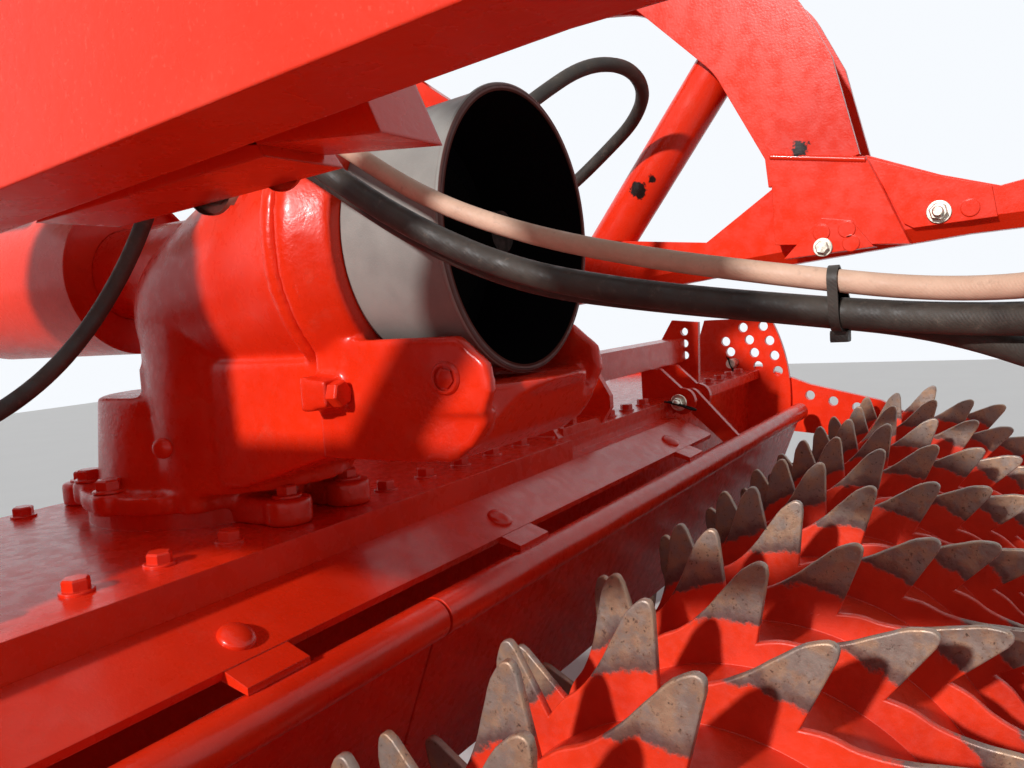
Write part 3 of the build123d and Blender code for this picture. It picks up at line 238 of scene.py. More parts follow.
def paint_finish(name, grain_scale, grain_depth, edge, dust_share):
    """Gloss paint with a grain of that scale and depth, and that share of dust."""
    paint = Finish(name, 0.30, Coat_Weight=0.12, Coat_Roughness=0.07, Specular_IOR_Level=0.28)
    cloudy = paint.noise(6, 3)
    red = paint.mix(paint.step(cloudy, 0.35, 0.7), PAINT_RED, PAINT_DEEP)
    speckle = paint.math("MULTIPLY", paint.step(paint.noise(900, 2), 0.60, 0.72), dust_share)
    film = paint.math("MULTIPLY", paint.step(paint.noise(25, 6, 0.7), 0.5, 0.8), dust_share * 0.5)
    dusty = paint.mix(paint.math("ADD", speckle, film, clamp=True), red, DUST)
    paint.set("Base Color", paint.mix(scuffed(paint), dusty, SCUFF_BLACK))
    paint.set("Roughness", paint.step(paint.noise(60, 4), 0.3, 0.75, 0.22, 0.36))
    paint.bump(paint.noise(grain_scale, 3), grain_depth, edge)
    return paint.material


red_paint = paint_finish("red_paint", 350, 0.00012, 0.0012, 0.12)
print("paint:", red_paint.name)

# %% [markdown]
# ### The same paint on a rough casting
#
# The gearbox is cast in sand, so its skin is pitted. The pits come in patches, because ground faces are
# smoother, and a large slow noise decides where they show.

# %% Paint on castings, with painted shade: near black inside the shaft guard
GUARD_BACK_U = 308.0
GUARD_MOUTH_U = 411.0
GUARD_BACK_R = 105.0
GUARD_MOUTH_R = 114.0
SHAFT_Z = 867.0
# In metres: the cover is painted black up to this distance from the shaft's axis, as painted shade inside the
# guard
PAINTED_SHADE_R = 0.103
PAINTED_SHADE_FADE = 0.001
PAINTED_SHADE_BLACK = (0.006, 0.005, 0.005)


def shaft_reach(finish):
    """The distance from the shaft's axis, and the place along it."""
    across, along, height = finish.axes()
    rise = finish.math("SUBTRACT", height, at(0, 0, SHAFT_Z).z)
    return finish.length(rise, across), along


def cast_finish():
    cast = Finish("cast_paint", 0.32, Coat_Weight=0.12, Coat_Roughness=0.10, Specular_IOR_Level=0.28)
    cloudy = cast.noise(7, 3)
    red = cast.mix(cast.step(cloudy, 0.35, 0.7), PAINT_RED, PAINT_DEEP)
    film = cast.math("MULTIPLY", cast.step(cast.noise(40, 6, 0.7), 0.52, 0.8), 0.10)
    reach, along = shaft_reach(cast)
    past_guard_back = cast.step(along, at(0, GUARD_BACK_U + 0.5, 0).y, at(0, GUARD_BACK_U + 1.5, 0).y)
    inside = cast.step(reach, PAINTED_SHADE_R, PAINTED_SHADE_R + PAINTED_SHADE_FADE, 1.0, 0.0)
    # Painted shade: the cover's faces deep inside the guard turn near black and lose their shine
    painted_shade = cast.math("MULTIPLY", past_guard_back, inside)
    cast.set("Base Color", cast.mix(painted_shade, cast.mix(film, red, DUST), PAINTED_SHADE_BLACK))
    cast.set("Specular IOR Level", cast.math("MULTIPLY", cast.math("SUBTRACT", 1.0, painted_shade), 0.28))
    cast.set("Roughness", cast.step(cast.noise(90, 4), 0.3, 0.75, 0.24, 0.40))
    pits = cast.noise(260, 3, 0.6)
    patches = cast.step(cast.noise(9, 2), 0.50, 0.66, 0.25, 1.0)
    waves = cast.math("MULTIPLY", cast.noise(28, 2), 1.6)
    cast.bump(cast.math("ADD", cast.math("MULTIPLY", pits, patches), waves), 0.0007, 0.0015)
    return cast.material


cast_paint = cast_finish()
print("casting:", cast_paint.name)

# %% [markdown]
# ### Moulded guard, rubber hoses, plated and bare steel
#
# The rear shaft guard is a matt grey plastic with pale scratches. Its inside is painted near black, as
# painted shade for the shadow that fills the cone, so the finish tells the two walls apart by their distance
# from the shaft's axis. The hoses are rubber with the print of the cloth they were cured in, and the pale one
# is the drain line. Pins and couplings are zinc plated, with the slightly yellow patchy shine that plating
# has.

# %% Guard plastic
GUARD_GREY = (0.24, 0.225, 0.205)
GUARD_PALE = (0.32, 0.30, 0.27)
GUARD_RUB = (0.40, 0.37, 0.33)
# Near black for the guard's inside wall: painted shade, for the shadow that fills the cone
GUARD_INSIDE_PAINTED_SHADE = (0.006, 0.005, 0.006)
GUARD_RIM = (0.10, 0.035, 0.028)


def guard_finish():
    guard = Finish("guard_plastic", 0.5, Specular_IOR_Level=0.3)
    reach, along = shaft_reach(guard)
    wall = guard.step(along, at(0, GUARD_BACK_U, 0).y, at(0, GUARD_MOUTH_U, 0).y,
                      GUARD_BACK_R * MM, GUARD_MOUTH_R * MM)
    wall.node.interpolation_type = "LINEAR"
    outside = guard.step(guard.math("SUBTRACT", reach, wall), -0.0026, -0.0016)
    cloudy = guard.step(guard.noise(14, 5), 0.35, 0.7)
    grey = guard.mix(cloudy, GUARD_GREY, GUARD_PALE)
    rubs = guard.step(guard.noise(60, 8, 0.75, stretch=(1, 6, 1)), 0.66, 0.74)
    rubbed = guard.mix(guard.math("MULTIPLY", rubs, 0.4), grey, GUARD_RUB)
    rim = guard.step(along, at(0, GUARD_MOUTH_U - 1.2, 0).y, at(0, GUARD_MOUTH_U - 0.8, 0).y)
    # Painted shade: the inside wall takes the near black colour, and further down it also loses its shine
    shown = guard.mix(outside, GUARD_INSIDE_PAINTED_SHADE, rubbed)
    guard.set("Base Color", guard.mix(rim, shown, GUARD_RIM))
    guard.set("Roughness", guard.step(guard.noise(80, 4), 0.3, 0.7, 0.42, 0.6))
    guard.set("Specular IOR Level", guard.math("MULTIPLY", outside, 0.3))
    guard.bump(guard.noise(700, 2), 0.0002, 0.001)
    return guard.material


guard_plastic = guard_finish()
print("guard:", guard_plastic.name)

# %% Hose rubber
# Columns: dark, pale, dust
BLACK_HOSE = ((0.030, 0.024, 0.020), (0.060, 0.048, 0.038), (0.17, 0.13, 0.10))
BEIGE_HOSE = ((0.58, 0.36, 0.25), (0.70, 0.46, 0.33), (0.36, 0.22, 0.16))


def hose_finish(name, dark, pale, dust, dust_share):
    hose = Finish(name, 0.55, Specular_IOR_Level=0.35)
    cloudy = hose.mix(hose.step(hose.noise(30, 6, 0.7), 0.35, 0.7), dark, pale)
    marks = hose.math("MULTIPLY", hose.step(hose.noise(160, 6, 0.7), 0.55, 0.75), dust_share)
    hose.set("Base Color", hose.mix(marks, cloudy, dust))
    hose.set("Roughness", hose.step(hose.noise(120, 4), 0.3, 0.7, 0.45, 0.7))
    weave = hose.add("TexWave", bands_direction="DIAGONAL")
    weave.inputs["Scale"].default_value = 260
    weave.inputs["Distortion"].default_value = 1.5
    hose.link(hose.place, weave.inputs["Vector"])
    hose.bump(hose.math("ADD", hose.math("MULTIPLY", weave.outputs["Fac"], 0.3), hose.noise(400, 3)), 0.00012)
    return hose.material


black_rubber = hose_finish("black_rubber", *BLACK_HOSE, 0.4)
beige_rubber = hose_finish("beige_rubber", *BEIGE_HOSE, 0.45)
print("rubbers:", black_rubber.name, beige_rubber.name)

# %% Plated steel, and near black steel that is painted shade on the shaft
# Columns: bright, dull
ZINC = ((0.70, 0.66, 0.56), (0.42, 0.38, 0.31))
# Near black: on the shaft stub inside the guard it is painted shade that hides the stub in the shadow there,
# and on the spring clips it is their own black
BLACK_STEEL_AND_PAINTED_SHADE = ((0.016, 0.013, 0.011), (0.008, 0.007, 0.006))


def steel_finish(name, bright, dull, roughness):
    steel = Finish(name, roughness, metallic=1.0)
    steel.set("Base Color", steel.mix(steel.step(steel.noise(90, 6, 0.7), 0.4, 0.65), bright, dull))
    steel.set("Roughness", steel.step(steel.noise(150, 5), 0.3, 0.7, roughness, roughness + 0.25))
    steel.bump(steel.noise(900, 2), 0.00008, 0.0006)
    return steel.material


zinc_steel = steel_finish("zinc_steel", *ZINC, 0.28)
shaft_steel = steel_finish("shaft_steel", *BLACK_STEEL_AND_PAINTED_SHADE, 0.6)
print("steels:", zinc_steel.name, shaft_steel.name)

# %% [markdown]
# ### Teeth and tines worn to the metal
#
# Soil strips the paint off whatever it touches first. On the roller that is the outer part of each tooth and
# all of its rim, so the wear depends on the distance from the roller's axle. On the rotors it is the lower
# part of the tines. Both are one recipe: a wear number that grows towards the tip, made ragged with noise,
# chooses between paint, a dark band and brown steel.

# %% Worn paint
BARE_BROWN = (0.40, 0.25, 0.16)
BARE_GREY = (0.30, 0.23, 0.19)
BARE_DARK = (0.10, 0.065, 0.05)
SCORCHED = (0.115, 0.045, 0.045)
WORN_RED = (0.74, 0.040, 0.010)
WORN_DEEP = (0.55, 0.026, 0.008)


def worn_finish(name, wear_of):
    """Paint that gives way to bare steel where wear_of passes a half."""
    worn = Finish(name, 0.4)
    wear = wear_of(worn)
    blotches = worn.math("SUBTRACT", worn.noise(45, 8, 0.7), 0.5)
    ragged = worn.math("ADD", wear, worn.math("MULTIPLY", blotches, 0.5))
    bare = worn.step(ragged, 0.46, 0.54)
    scorched = worn.step(ragged, 0.54, 0.80, 0.75, 0.0)
    rust = worn.mix(worn.step(worn.noise(55, 6, 0.65), 0.42, 0.6), BARE_GREY, BARE_BROWN)
    stained = worn.mix(worn.step(worn.noise(220, 5, 0.7), 0.55, 0.7), rust, BARE_DARK)
    red = worn.mix(worn.step(worn.noise(12, 4), 0.4, 0.7), WORN_RED, WORN_DEEP)
    banded = worn.mix(scorched, stained, SCORCHED)
    worn.set("Base Color", worn.mix(bare, red, banded))
    worn.set("Metallic", worn.math("MULTIPLY", bare, 0.45))
    worn.set("Roughness", worn.step(worn.noise(130, 5), 0.3, 0.7, 0.33, 0.55))
    worn.bump(worn.math("ADD", worn.noise(300, 5, 0.7), worn.math("MULTIPLY", bare, -0.6)), 0.0003, 0.0012)
    return worn.material


ROLLER_U = 552.0
ROLLER_Z = 290.0
ROLLER_AXLE = at(0, ROLLER_U, ROLLER_Z)
# In metres: where the bare steel starts, and how far on the wear number reaches 1
BARE_FROM_R = 0.206
BARE_SPAN = 0.06
BARE_BELOW_Z = 0.36
BARE_DROP = 0.2


def roller_wear(worn):
    """Grows with the distance from the roller's axle."""
    back, height = worn.axes()[1:]
    across = worn.math("SUBTRACT", back, ROLLER_AXLE.y)
    rise = worn.math("SUBTRACT", height, ROLLER_AXLE.z)
    radius = worn.length(across, rise)
    return worn.math("DIVIDE", worn.math("SUBTRACT", radius, BARE_FROM_R), BARE_SPAN)


def tine_wear(worn):
    """Grows downwards along the tines."""
    height = worn.axes()[2]
    return worn.math("DIVIDE", worn.math("SUBTRACT", BARE_BELOW_Z, height), BARE_DROP)


roller_steel = worn_finish("roller_steel", roller_wear)
tine_steel = worn_finish("tine_steel", tine_wear)
print("worn steels:", roller_steel.name, tine_steel.name)

# %% Dress the solids that keep their shape
finish_of_slot = {
    "red_paint": red_paint, "cast_red": cast_paint, "black_plastic": guard_plastic, "tine_steel": tine_steel,
    "roller_steel": roller_steel, "zinc_steel": zinc_steel, "black_rubber": black_rubber,
    "beige_rubber": beige_rubber, "shaft_steel": shaft_steel,
}
for part in frame["record"]["subparts"]:
    mesh = frame["nodes"][part["node"]].data
    mesh.materials.clear()
    mesh.materials.append(finish_of_slot[part["material_slot"]])

# %% [markdown]
# ## Helpers for mesh pieces
#
# Most pieces here are turned parts or plates. One helper spins a profile round an axis, one adds such a part
# to a mesh that gathers many, and the last makes a scene object of it: it smooths what is round, keeps real
# edges sharp, and says which body carries it.

# %% Turned parts and scene objects
UP = Vector((0, 0, 1))
LEFT = Vector((1, 0, 0))
REAR = Vector((0, 1, 0))


def mesh_from(drawn):
    """The mesh of an object with its modifiers, and the object removed."""
    bpy.context.view_layer.update()
    mesh = bpy.data.meshes.new_from_object(drawn.evaluated_get(bpy.context.evaluated_depsgraph_get()))
    bpy.data.objects.remove(drawn)
    return mesh


def triangles(mesh):
    return sum(len(face.vertices) - 2 for face in mesh.polygons)


def spin(profile, axis, origin, steps):
    """A bmesh turned from (distance along the axis, radius) points round an axis through origin."""
    turned = bmesh.new()
    side = axis.orthogonal().normalized()
    verts = [turned.verts.new(origin + axis * along + side * radius) for along, radius in profile]
    edges = [turned.edges.new(pair) for pair in zip(verts, verts[1:])]
    bmesh.ops.spin(turned, geom=verts + edges, cent=origin, axis=axis, angle=2 * pi, steps=steps)
    bmesh.ops.remove_doubles(turned, verts=turned.verts, dist=0.00002)
    bmesh.ops.recalc_face_normals(turned, faces=turned.faces)
    return turned


def add_mesh(target, source):
    """Adds one bmesh to another."""
    mesh = bpy.data.meshes.new("part")
    source.to_mesh(mesh)
    source.free()
    target.from_mesh(mesh)
    bpy.data.meshes.remove(mesh)


def add_turned(target, profile, axis, place, steps):
    """A part turned from (along, radius) points in millimetres, added to a bmesh."""
    add_mesh(target, spin([(along * MM, radius * MM) for along, radius in profile], axis, place, steps))


def piece(name, source, slot, body, smooth=35, replaces=()):
    """A scene object from a bmesh or mesh in that slot's finish, smooth up to that angle, on a body."""
    if isinstance(source, bmesh.types.BMesh):
        mesh = bpy.data.meshes.new(name)
        source.to_mesh(mesh)
        source.free()
    else:
        mesh = source
        mesh.name = name
    mesh.materials.clear()
    mesh.materials.append(finish_of_slot[slot])
    mesh.polygons.foreach_set("use_smooth", [True] * len(mesh.polygons))
    mesh.set_sharp_from_angle(angle=radians(smooth))
    made = in_scene(name, mesh)
    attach(made, body)
    if replaces:
        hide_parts(*replaces)
    return made


# %% [markdown]
# ## The hoses
#
# Five hoses run back from plugs parked on the mast. Three go on to the drill's couplings at the rear, and the
# other two end in glands on the headstock. Each could be a mesh tube, but a NURBS curve with a round bevel
# needs only the points that lead it, and it bends like rubber between them. The route gives a hose room to
# leave its plug straight, ride over the mast, fall under its own weight and lie on the arm's bracket.

# %% Routes, from the front plug to the far end (x, u, z)
ROUTES = {
    "supply_hose": (
        (160, -236, 1076), (160, -236, 1164), (160, -188, 1240), (161, -92, 1262), (166, 10, 1190),
        (177, 110, 1098), (187, 208, 1018), (191, 285, 960), (186, 351, 916), (178, 425, 863),
        (170, 500, 826), (162, 575, 808), (155, 655, 795), (149, 732, 785), (178, 798, 784),
        (240, 842, 796), (318, 862, 822), (394, 862, 822),
    ),
    "return_hose": (
        (122, -236, 1076), (122, -236, 1156), (122, -190, 1228), (124, -96, 1250), (134, 4, 1178),
        (150, 106, 1086), (164, 204, 1005), (172, 285, 946), (168, 351, 905), (160, 425, 853),
        (152, 500, 819), (145, 575, 805), (136, 658, 793), (131, 732, 782), (165, 796, 759),
        (234, 826, 773), (314, 826, 800), (394, 826, 800),
    ),
    "drain_hose": (
        (198, -236, 1076), (198, -236, 1150), (198, -196, 1220), (198, -120, 1256), (199, -30, 1232),
        (201, 60, 1156), (203, 150, 1084), (200, 240, 1014), (192, 316, 960), (184, 382, 919),
        (177, 445, 875), (171, 515, 846), (164, 590, 826), (158, 665, 811), (154, 734, 799),
        (184, 792, 800), (246, 828, 820), (322, 846, 850), (394, 846, 850),
    ),
    "feed_hose": (
        (84, -236, 1076), (84, -236, 1148), (84, -192, 1214), (86, -108, 1234), (92, -26, 1184),
        (102, 44, 1112), (114, 104, 1026), (125, 133, 944), (138, 106, 878), (168, 80, 814),
        (220, 82, 768), (286, 90, 738), (356, 90, 728), (432, 90, 728),
    ),
    "loop_hose": (
        (-80, -236, 1076), (-80, -236, 1160), (-80, -188, 1236), (-80, -92, 1258), (-80, 6, 1190),
        (-80, 98, 1098), (-82, 184, 1022), (-106, 248, 986), (-160, 290, 984), (-214, 316, 1026),
        (-262, 352, 1062), (-316, 378, 1066), (-370, 376, 1048), (-410, 344, 1024), (-430, 300, 1000),
        (-436, 240, 960), (-436, 166, 920), (-436, 92, 905),
    ),
}

# %% Draw each hose along its route
# Columns: name, radius in millimetres, length in metres, far end, slot
HOSES = (
    ("supply_hose", 8.0, 1.54, "plug", "black_rubber"),
    ("return_hose", 8.0, 1.53, "plug", "black_rubber"),
    ("drain_hose", 6.0, 1.50, "plug", "beige_rubber"),
    ("feed_hose", 7.0, 1.04, "object", "black_rubber"),
    ("loop_hose", 8.0, 1.35, "object", "black_rubber"),
)


def ferrule_profile(radius):
    """A crimped sleeve round the end of a hose of that radius in metres, with three pressed grooves."""
    bare, proud, groove = radius + 0.0002, radius + 0.0024, radius + 0.0014
    profile = [(0.0, bare), (0.0, proud)]
    for ridge in range(3):
        start = 0.004 + ridge * 0.009
        profile += [(start, proud), (start + 0.001, groove), (start + 0.004, groove), (start + 0.005, proud)]
    return profile + [(0.034, proud), (0.035, bare), (0.0, bare)]


for name, radius, length, far_end, slot in HOSES:
    line = bpy.data.curves.new(name + "_line", "CURVE")
    line.dimensions = "3D"
    spline = line.splines.new("NURBS")
    spline.points.add(len(ROUTES[name]) - 1)
    for point, place in zip(spline.points, ROUTES[name]):
        point.co = (*at(*place), 1.0)
    spline.order_u = 3
    spline.use_endpoint_u = True
    spline.resolution_u = 8
    line.bevel_depth = radius * MM
    line.bevel_resolution = 5
    line.use_fill_caps = True
    line.materials.append(finish_of_slot[slot])
    hose = in_scene(name + "_rubber", line)
    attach(hose, "frame")
    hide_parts(name)
    ferrules = bmesh.new()
    ends = [(at(*ROUTES[name][0]), at(*ROUTES[name][1]))]
    if far_end == "plug":
        ends.append((at(*ROUTES[name][-1]), at(*ROUTES[name][-2])))
    for start, onwards in ends:
        add_mesh(ferrules, spin(ferrule_profile(radius * MM), (onwards - start).normalized(), start, 32))
    sleeve = piece(name + "_ferrules", ferrules, "zinc_steel", "frame")
print("hoses drawn:", len(HOSES))

# %% [markdown]
# ## Floor and light
#
# A plain pale floor and a white surround keep the eye on the machine. The key light comes from the machine's
# left and low, as in the late afternoon, so it lights the faces of the teeth and lays each tooth's shadow on
# the next ring. The world fills the shadows. Only rays that look at the background see it as white, through
# the Light Path node, so the white never adds light to the paint.

# %% Floor
FLOOR_HALF = 9.0
FLOOR_GREY = (0.62, 0.61, 0.60)
FLOOR_PALE = (0.66, 0.65, 0.64)
floor_mesh = bpy.data.meshes.new("floor")
corners = [(FLOOR_HALF * x, FLOOR_HALF * y, 0.0) for x, y in ((-1, -1), (1, -1), (1, 1), (-1, 1))]
floor_mesh.from_pydata(corners, [], [(0, 1, 2, 3)])
floor = in_scene("floor", floor_mesh)
floor_finish = Finish("floor_finish", 0.7)
floor_finish.set("Base Color", floor_finish.mix(floor_finish.noise(3, 4), FLOOR_GREY, FLOOR_PALE))
floor_mesh.materials.append(floor_finish.material)
print("floor, metres across:", 2 * FLOOR_HALF)

# %% World: white to the eye, grey to the paint
FILL_STRENGTH = 0.26
world = bpy.data.worlds.new("studio")
world.use_nodes = True
bpy.context.scene.world = world
tree = world.node_tree
background = tree.nodes["Background"]
background.inputs["Color"].default_value = (0.93, 0.96, 1.0, 1.0)
rays = tree.nodes.new("ShaderNodeLightPath")
seen = rays.outputs["Is Camera Ray"]
for kind in ("Is Glossy Ray", "Is Transmission Ray"):
    either = tree.nodes.new("ShaderNodeMath")
    either.operation = "MAXIMUM"
    tree.links.new(seen, either.inputs[0])
    tree.links.new(rays.outputs[kind], either.inputs[1])
    seen = either.outputs[0]
strength = tree.nodes.new("ShaderNodeMapRange")
strength.inputs["To Min"].default_value = FILL_STRENGTH
strength.inputs["To Max"].default_value = 1.0
tree.links.new(seen, strength.inputs["Value"])
tree.links.new(strength.outputs["Result"], background.inputs["Strength"])
print("fill light:", FILL_STRENGTH)

# %% Key light
TOWARDS_KEY = Vector((0.90, -0.12, 0.43))
key_data = bpy.data.lights.new("key", "SUN")
key_data.energy = 3.6
key_data.angle = radians(2.5)
key = in_scene("key", key_data)
key.rotation_euler = TOWARDS_KEY.to_track_quat("Z", "Y").to_euler()
bpy.context.scene.view_settings.view_transform = "Standard"
print("key light's height in degrees:", round(degrees(atan2(TOWARDS_KEY.z, TOWARDS_KEY.xy.length)), 1))

# %% [markdown]
# ## The packer roller
#
# A smooth drum carries rings of saw teeth cut from thick plate, each ring turned a little from the one
# before, so the teeth run in spirals. The solid has the teeth in straight strokes. The real outline is a
# wave: a steep front edge, a rounded tip, and a back that swings down hollow into the next gullet. One ring
# is drawn as a flat curve with thickness and a rounded edge. An Array modifier then copies it with an offset
# object that moves and turns at once, which makes the spiral by itself.

# %% One ring of teeth as a flat curve
RING_COUNT = 26
RING_PITCH = 112.0
RING_SHIFT = -31.0
RING_T = 8.0
RING_TWIST = 11.53
FIRST_TOOTH = 29.8
TOOTH_COUNT = 13
RING_HOLE_R = 196.0
RING_EDGE = 1.5
# Columns: share of the tooth's step, radius in millimetres, corner or smooth
TOOTH_WAVE = (
    (0.070, 219.0, "VECTOR"), (0.008, 281.0, "VECTOR"), (0.028, 289.2, "AUTO"), (0.110, 286.0, "AUTO"),
    (0.280, 264.0, "AUTO"), (0.450, 244.0, "AUTO"), (0.690, 229.0, "AUTO"), (0.880, 225.5, "AUTO"),
)


def ring_curve():
    """One ring as a flat curve: the wave of teeth outside and a round hole inside."""
    wave = bpy.data.curves.new("tooth_wave", "CURVE")
    wave.dimensions = "2D"
    wave.fill_mode = "BOTH"
    wave.resolution_u = 4
    teeth = wave.splines.new("BEZIER")
    teeth.bezier_points.add(TOOTH_COUNT * len(TOOTH_WAVE) - 1)
    step = radians(360 / TOOTH_COUNT)
    knots = [(tooth + share, *rest) for tooth in range(TOOTH_COUNT) for share, *rest in TOOTH_WAVE]
    for point, (turn, reach, handle) in zip(teeth.bezier_points, knots):
        radius = (reach - RING_EDGE) * MM
        point.co = (radius * cos(turn * step), radius * sin(turn * step), 0)
        point.handle_left_type = point.handle_right_type = handle
    teeth.use_cyclic_u = True
    hole = wave.splines.new("POLY")
    sides = 4 * TOOTH_COUNT
    hole.points.add(sides - 1)
    for side in range(sides):
        angle = 2 * pi * side / sides
        hole.points[side].co = (RING_HOLE_R * MM * cos(angle), RING_HOLE_R * MM * sin(angle), 0, 1)
    hole.use_cyclic_u = True
    wave.extrude = (RING_T / 2 - RING_EDGE) * MM
    wave.bevel_depth = RING_EDGE * MM
    wave.bevel_resolution = 1
    return wave


ring_mesh = mesh_from(in_scene("one_ring", ring_curve()))
print("triangles in one ring:", triangles(ring_mesh))

# %% Copy the ring along the drum with a turning offset
RING_AXES = Matrix(((0, 0, 1), (1, 0, 0), (0, 1, 0))).to_4x4()
first_x = RING_SHIFT - (RING_COUNT - 1) / 2 * RING_PITCH
ring_mesh.transform(RING_AXES)
ring_mesh.transform(Matrix.Rotation(radians(FIRST_TOOTH), 4, "X"))
rings = in_scene("roller_rings", ring_mesh)
turner = in_scene("ring_offset", None)
one_pitch = Matrix.Translation((RING_PITCH * MM, 0, 0))
turner.matrix_world = one_pitch @ Matrix.Rotation(radians(RING_TWIST), 4, "X")
copies = rings.modifiers.new("spiral", "ARRAY")
copies.count = RING_COUNT
copies.use_relative_offset = False
copies.use_object_offset = True
copies.offset_object = turner
all_rings = mesh_from(rings)
bpy.data.objects.remove(turner)
all_rings.transform(Matrix.Translation((first_x * MM, ROLLER_AXLE.y, ROLLER_AXLE.z)))
print("rings:", RING_COUNT, "first at x =", first_x)

# %% Drum and axle stubs
DRUM_R = 197.5
DRUM_END = 1452.0
DRUM_CHAMFER = 2.0
AXLE_R = 30.0
axle_low, axle_high = (corner.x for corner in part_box("packer_roller"))
# Columns: x, radius. One end of the drum, from the axle outwards
END_PROFILE = ((DRUM_END, AXLE_R), (DRUM_END, DRUM_R - DRUM_CHAMFER), (DRUM_END - DRUM_CHAMFER, DRUM_R))
drum_profile = [(axle_low, 0.0), (axle_low, AXLE_R * MM)]
drum_profile += [(-x * MM, radius * MM) for x, radius in END_PROFILE]
drum_profile += [(x * MM, radius * MM) for x, radius in reversed(END_PROFILE)]
drum_profile += [(axle_high, AXLE_R * MM), (axle_high, 0.0)]
roller = spin(drum_profile, LEFT, Vector((0, ROLLER_AXLE.y, ROLLER_AXLE.z)), 120)
roller.from_mesh(all_rings)
bpy.data.meshes.remove(all_rings)
piece("toothed_roller", roller, "roller_steel", "roller", replaces=("packer_roller",))
print("axle from", round(axle_low, 3), "to", round(axle_high, 3))

# %% [markdown]
# ## The gearbox as a casting
#
# A casting has no sharp inner corners: every wall runs into the next through a hollow, because molten iron
# would crack at a corner. The solids of the gearbox meet in plain creases. Two modifiers soften them: a
# voxel Remesh makes one even skin, and a Smooth pass melts the creases into hollows. The web that ties the
# neck to the sump is added to the same skin first, and so are four feet that reach out to the lid's bolts.

# %% A copy of the housing's mesh, with the web and the feet
# Columns: u, z. Side outline of the web between the neck and the sump
WEB_OUTLINE = ((20, 652), (150, 656), (262, 690), (262, 770), (20, 770))
WEB_HALF = 88.0
# The feet stand on bolts of the lid's two rows
LID_BOLT_X = 42.0
LID_BOLT_U = 160.0
CAST_FEET = [(x, u) for u in (LID_BOLT_U, -LID_BOLT_U) for x in (LID_BOLT_X, -LID_BOLT_X)]
FOOT_R = 23.0
FOOT_RIB_HALF = 0.8 * FOOT_R
FOOT_TOP = 640.0
# In metres
VOXEL = 0.003


def prism(points, one_x, other_x):
    """A bmesh plate with a side outline of (u, z) points, between two x places in either order."""
    plate = bmesh.new()
    rows = [[plate.verts.new(at(x, u, z)) for u, z in points] for x in (one_x, other_x)]
    plate.faces.new(rows[0])
    plate.faces.new(list(reversed(rows[1])))
    for i, vert in enumerate(rows[0]):
        after = (i + 1) % len(points)
        plate.faces.new((rows[0][after], vert, rows[1][i], rows[1][after]))
    bmesh.ops.recalc_face_normals(plate, faces=plate.faces)
    return plate


def soft_skin(source, voxel, passes):
    """One even mesh over everything in a bmesh, its creases melted."""
    mesh = bpy.data.meshes.new("rough")
    source.to_mesh(mesh)
    source.free()
    rough = in_scene("rough", mesh)
    remesh = rough.modifiers.new("skin", "REMESH")
    remesh.mode = "VOXEL"
    remesh.voxel_size = voxel
    melt = rough.modifiers.new("melt", "SMOOTH")
    melt.factor = 0.5
    melt.iterations = passes
    return mesh_from(rough)


housing = bmesh.new()
housing.from_mesh(frame["nodes"]["gearbox_housing"].data)
add_mesh(housing, prism(WEB_OUTLINE, -WEB_HALF, WEB_HALF))
boss = ((0, 0), (0, FOOT_R), (FOOT_TOP - LID_TOP, FOOT_R), (FOOT_TOP - LID_TOP, 0))
for x, u in CAST_FEET:
    add_turned(housing, boss, UP, at(x, u, LID_TOP), 48)
    near, far = sorted((u, u * 0.5))
    rib = ((near, LID_TOP), (far, LID_TOP), (far, FOOT_TOP), (near, FOOT_TOP))
    add_mesh(housing, prism(rib, x - FOOT_RIB_HALF, x + FOOT_RIB_HALF))
skin = soft_skin(housing, VOXEL, 10)
print("triangles in the casting:", triangles(skin))
piece("gearbox_casting", skin, "cast_red", "frame", smooth=60, replaces=("gearbox_housing",))

# %% [markdown]
# The rear cover bolts on behind. Under it hangs the sump, which cradles the shaft guard between two cheeks.
# Its drain screw sits in a round pocket, so no stone can knock it off.

# %% The rear cover with its sump
# Columns: u, z
CHEEK_OUTLINE = ((262, 728), (424, 728), (432, 745), (430, 764), (405, 786), (262, 786))
CHIN_OUTLINE = ((262, 692), (378, 692), (408, 701), (422, 718), (426, 730), (262, 730))
EAR_OUTLINE = ((262, 730), (290, 734), (290, 756), (262, 760))
# Columns: outline, inner x, outer x. The cheeks, the rounded chin below them and the ears for the bolts
COVER_PLATES = ((CHEEK_OUTLINE, 85, 97), (CHIN_OUTLINE, 78, 92), (EAR_OUTLINE, 90, 117))
cover = bmesh.new()
cover.from_mesh(frame["nodes"]["gearbox_rear_cover"].data)
for sign in (1, -1):
    for outline, inner_x, outer_x in COVER_PLATES:
        add_mesh(cover, prism(outline, sign * inner_x, sign * outer_x))
skin = soft_skin(cover, VOXEL, 7)
print("triangles in the cover:", triangles(skin))
piece("gearbox_cover", skin, "cast_red", "frame", smooth=60, replaces=("gearbox_rear_cover",))

# %% [markdown]
# ## Bolts
#
# A hexagon head is a six-sided turned part: the same spin helper draws it in six steps, with the slanted
# corners that a real head gets on the lathe. Heads sit on washers. The lid is held to the trough by a row of
# bolts along each edge, and coach bolts with domed heads hold the guard plate's straps.

# %% Heads and beads as helpers
WASHER_T = 2.4
WASHER_EDGE = 0.6


def on_side(sign, x, u, z):
    """A drawing place on the machine's left for 1, or its mirror image on the right for -1."""
    return at(sign * x, u, z)


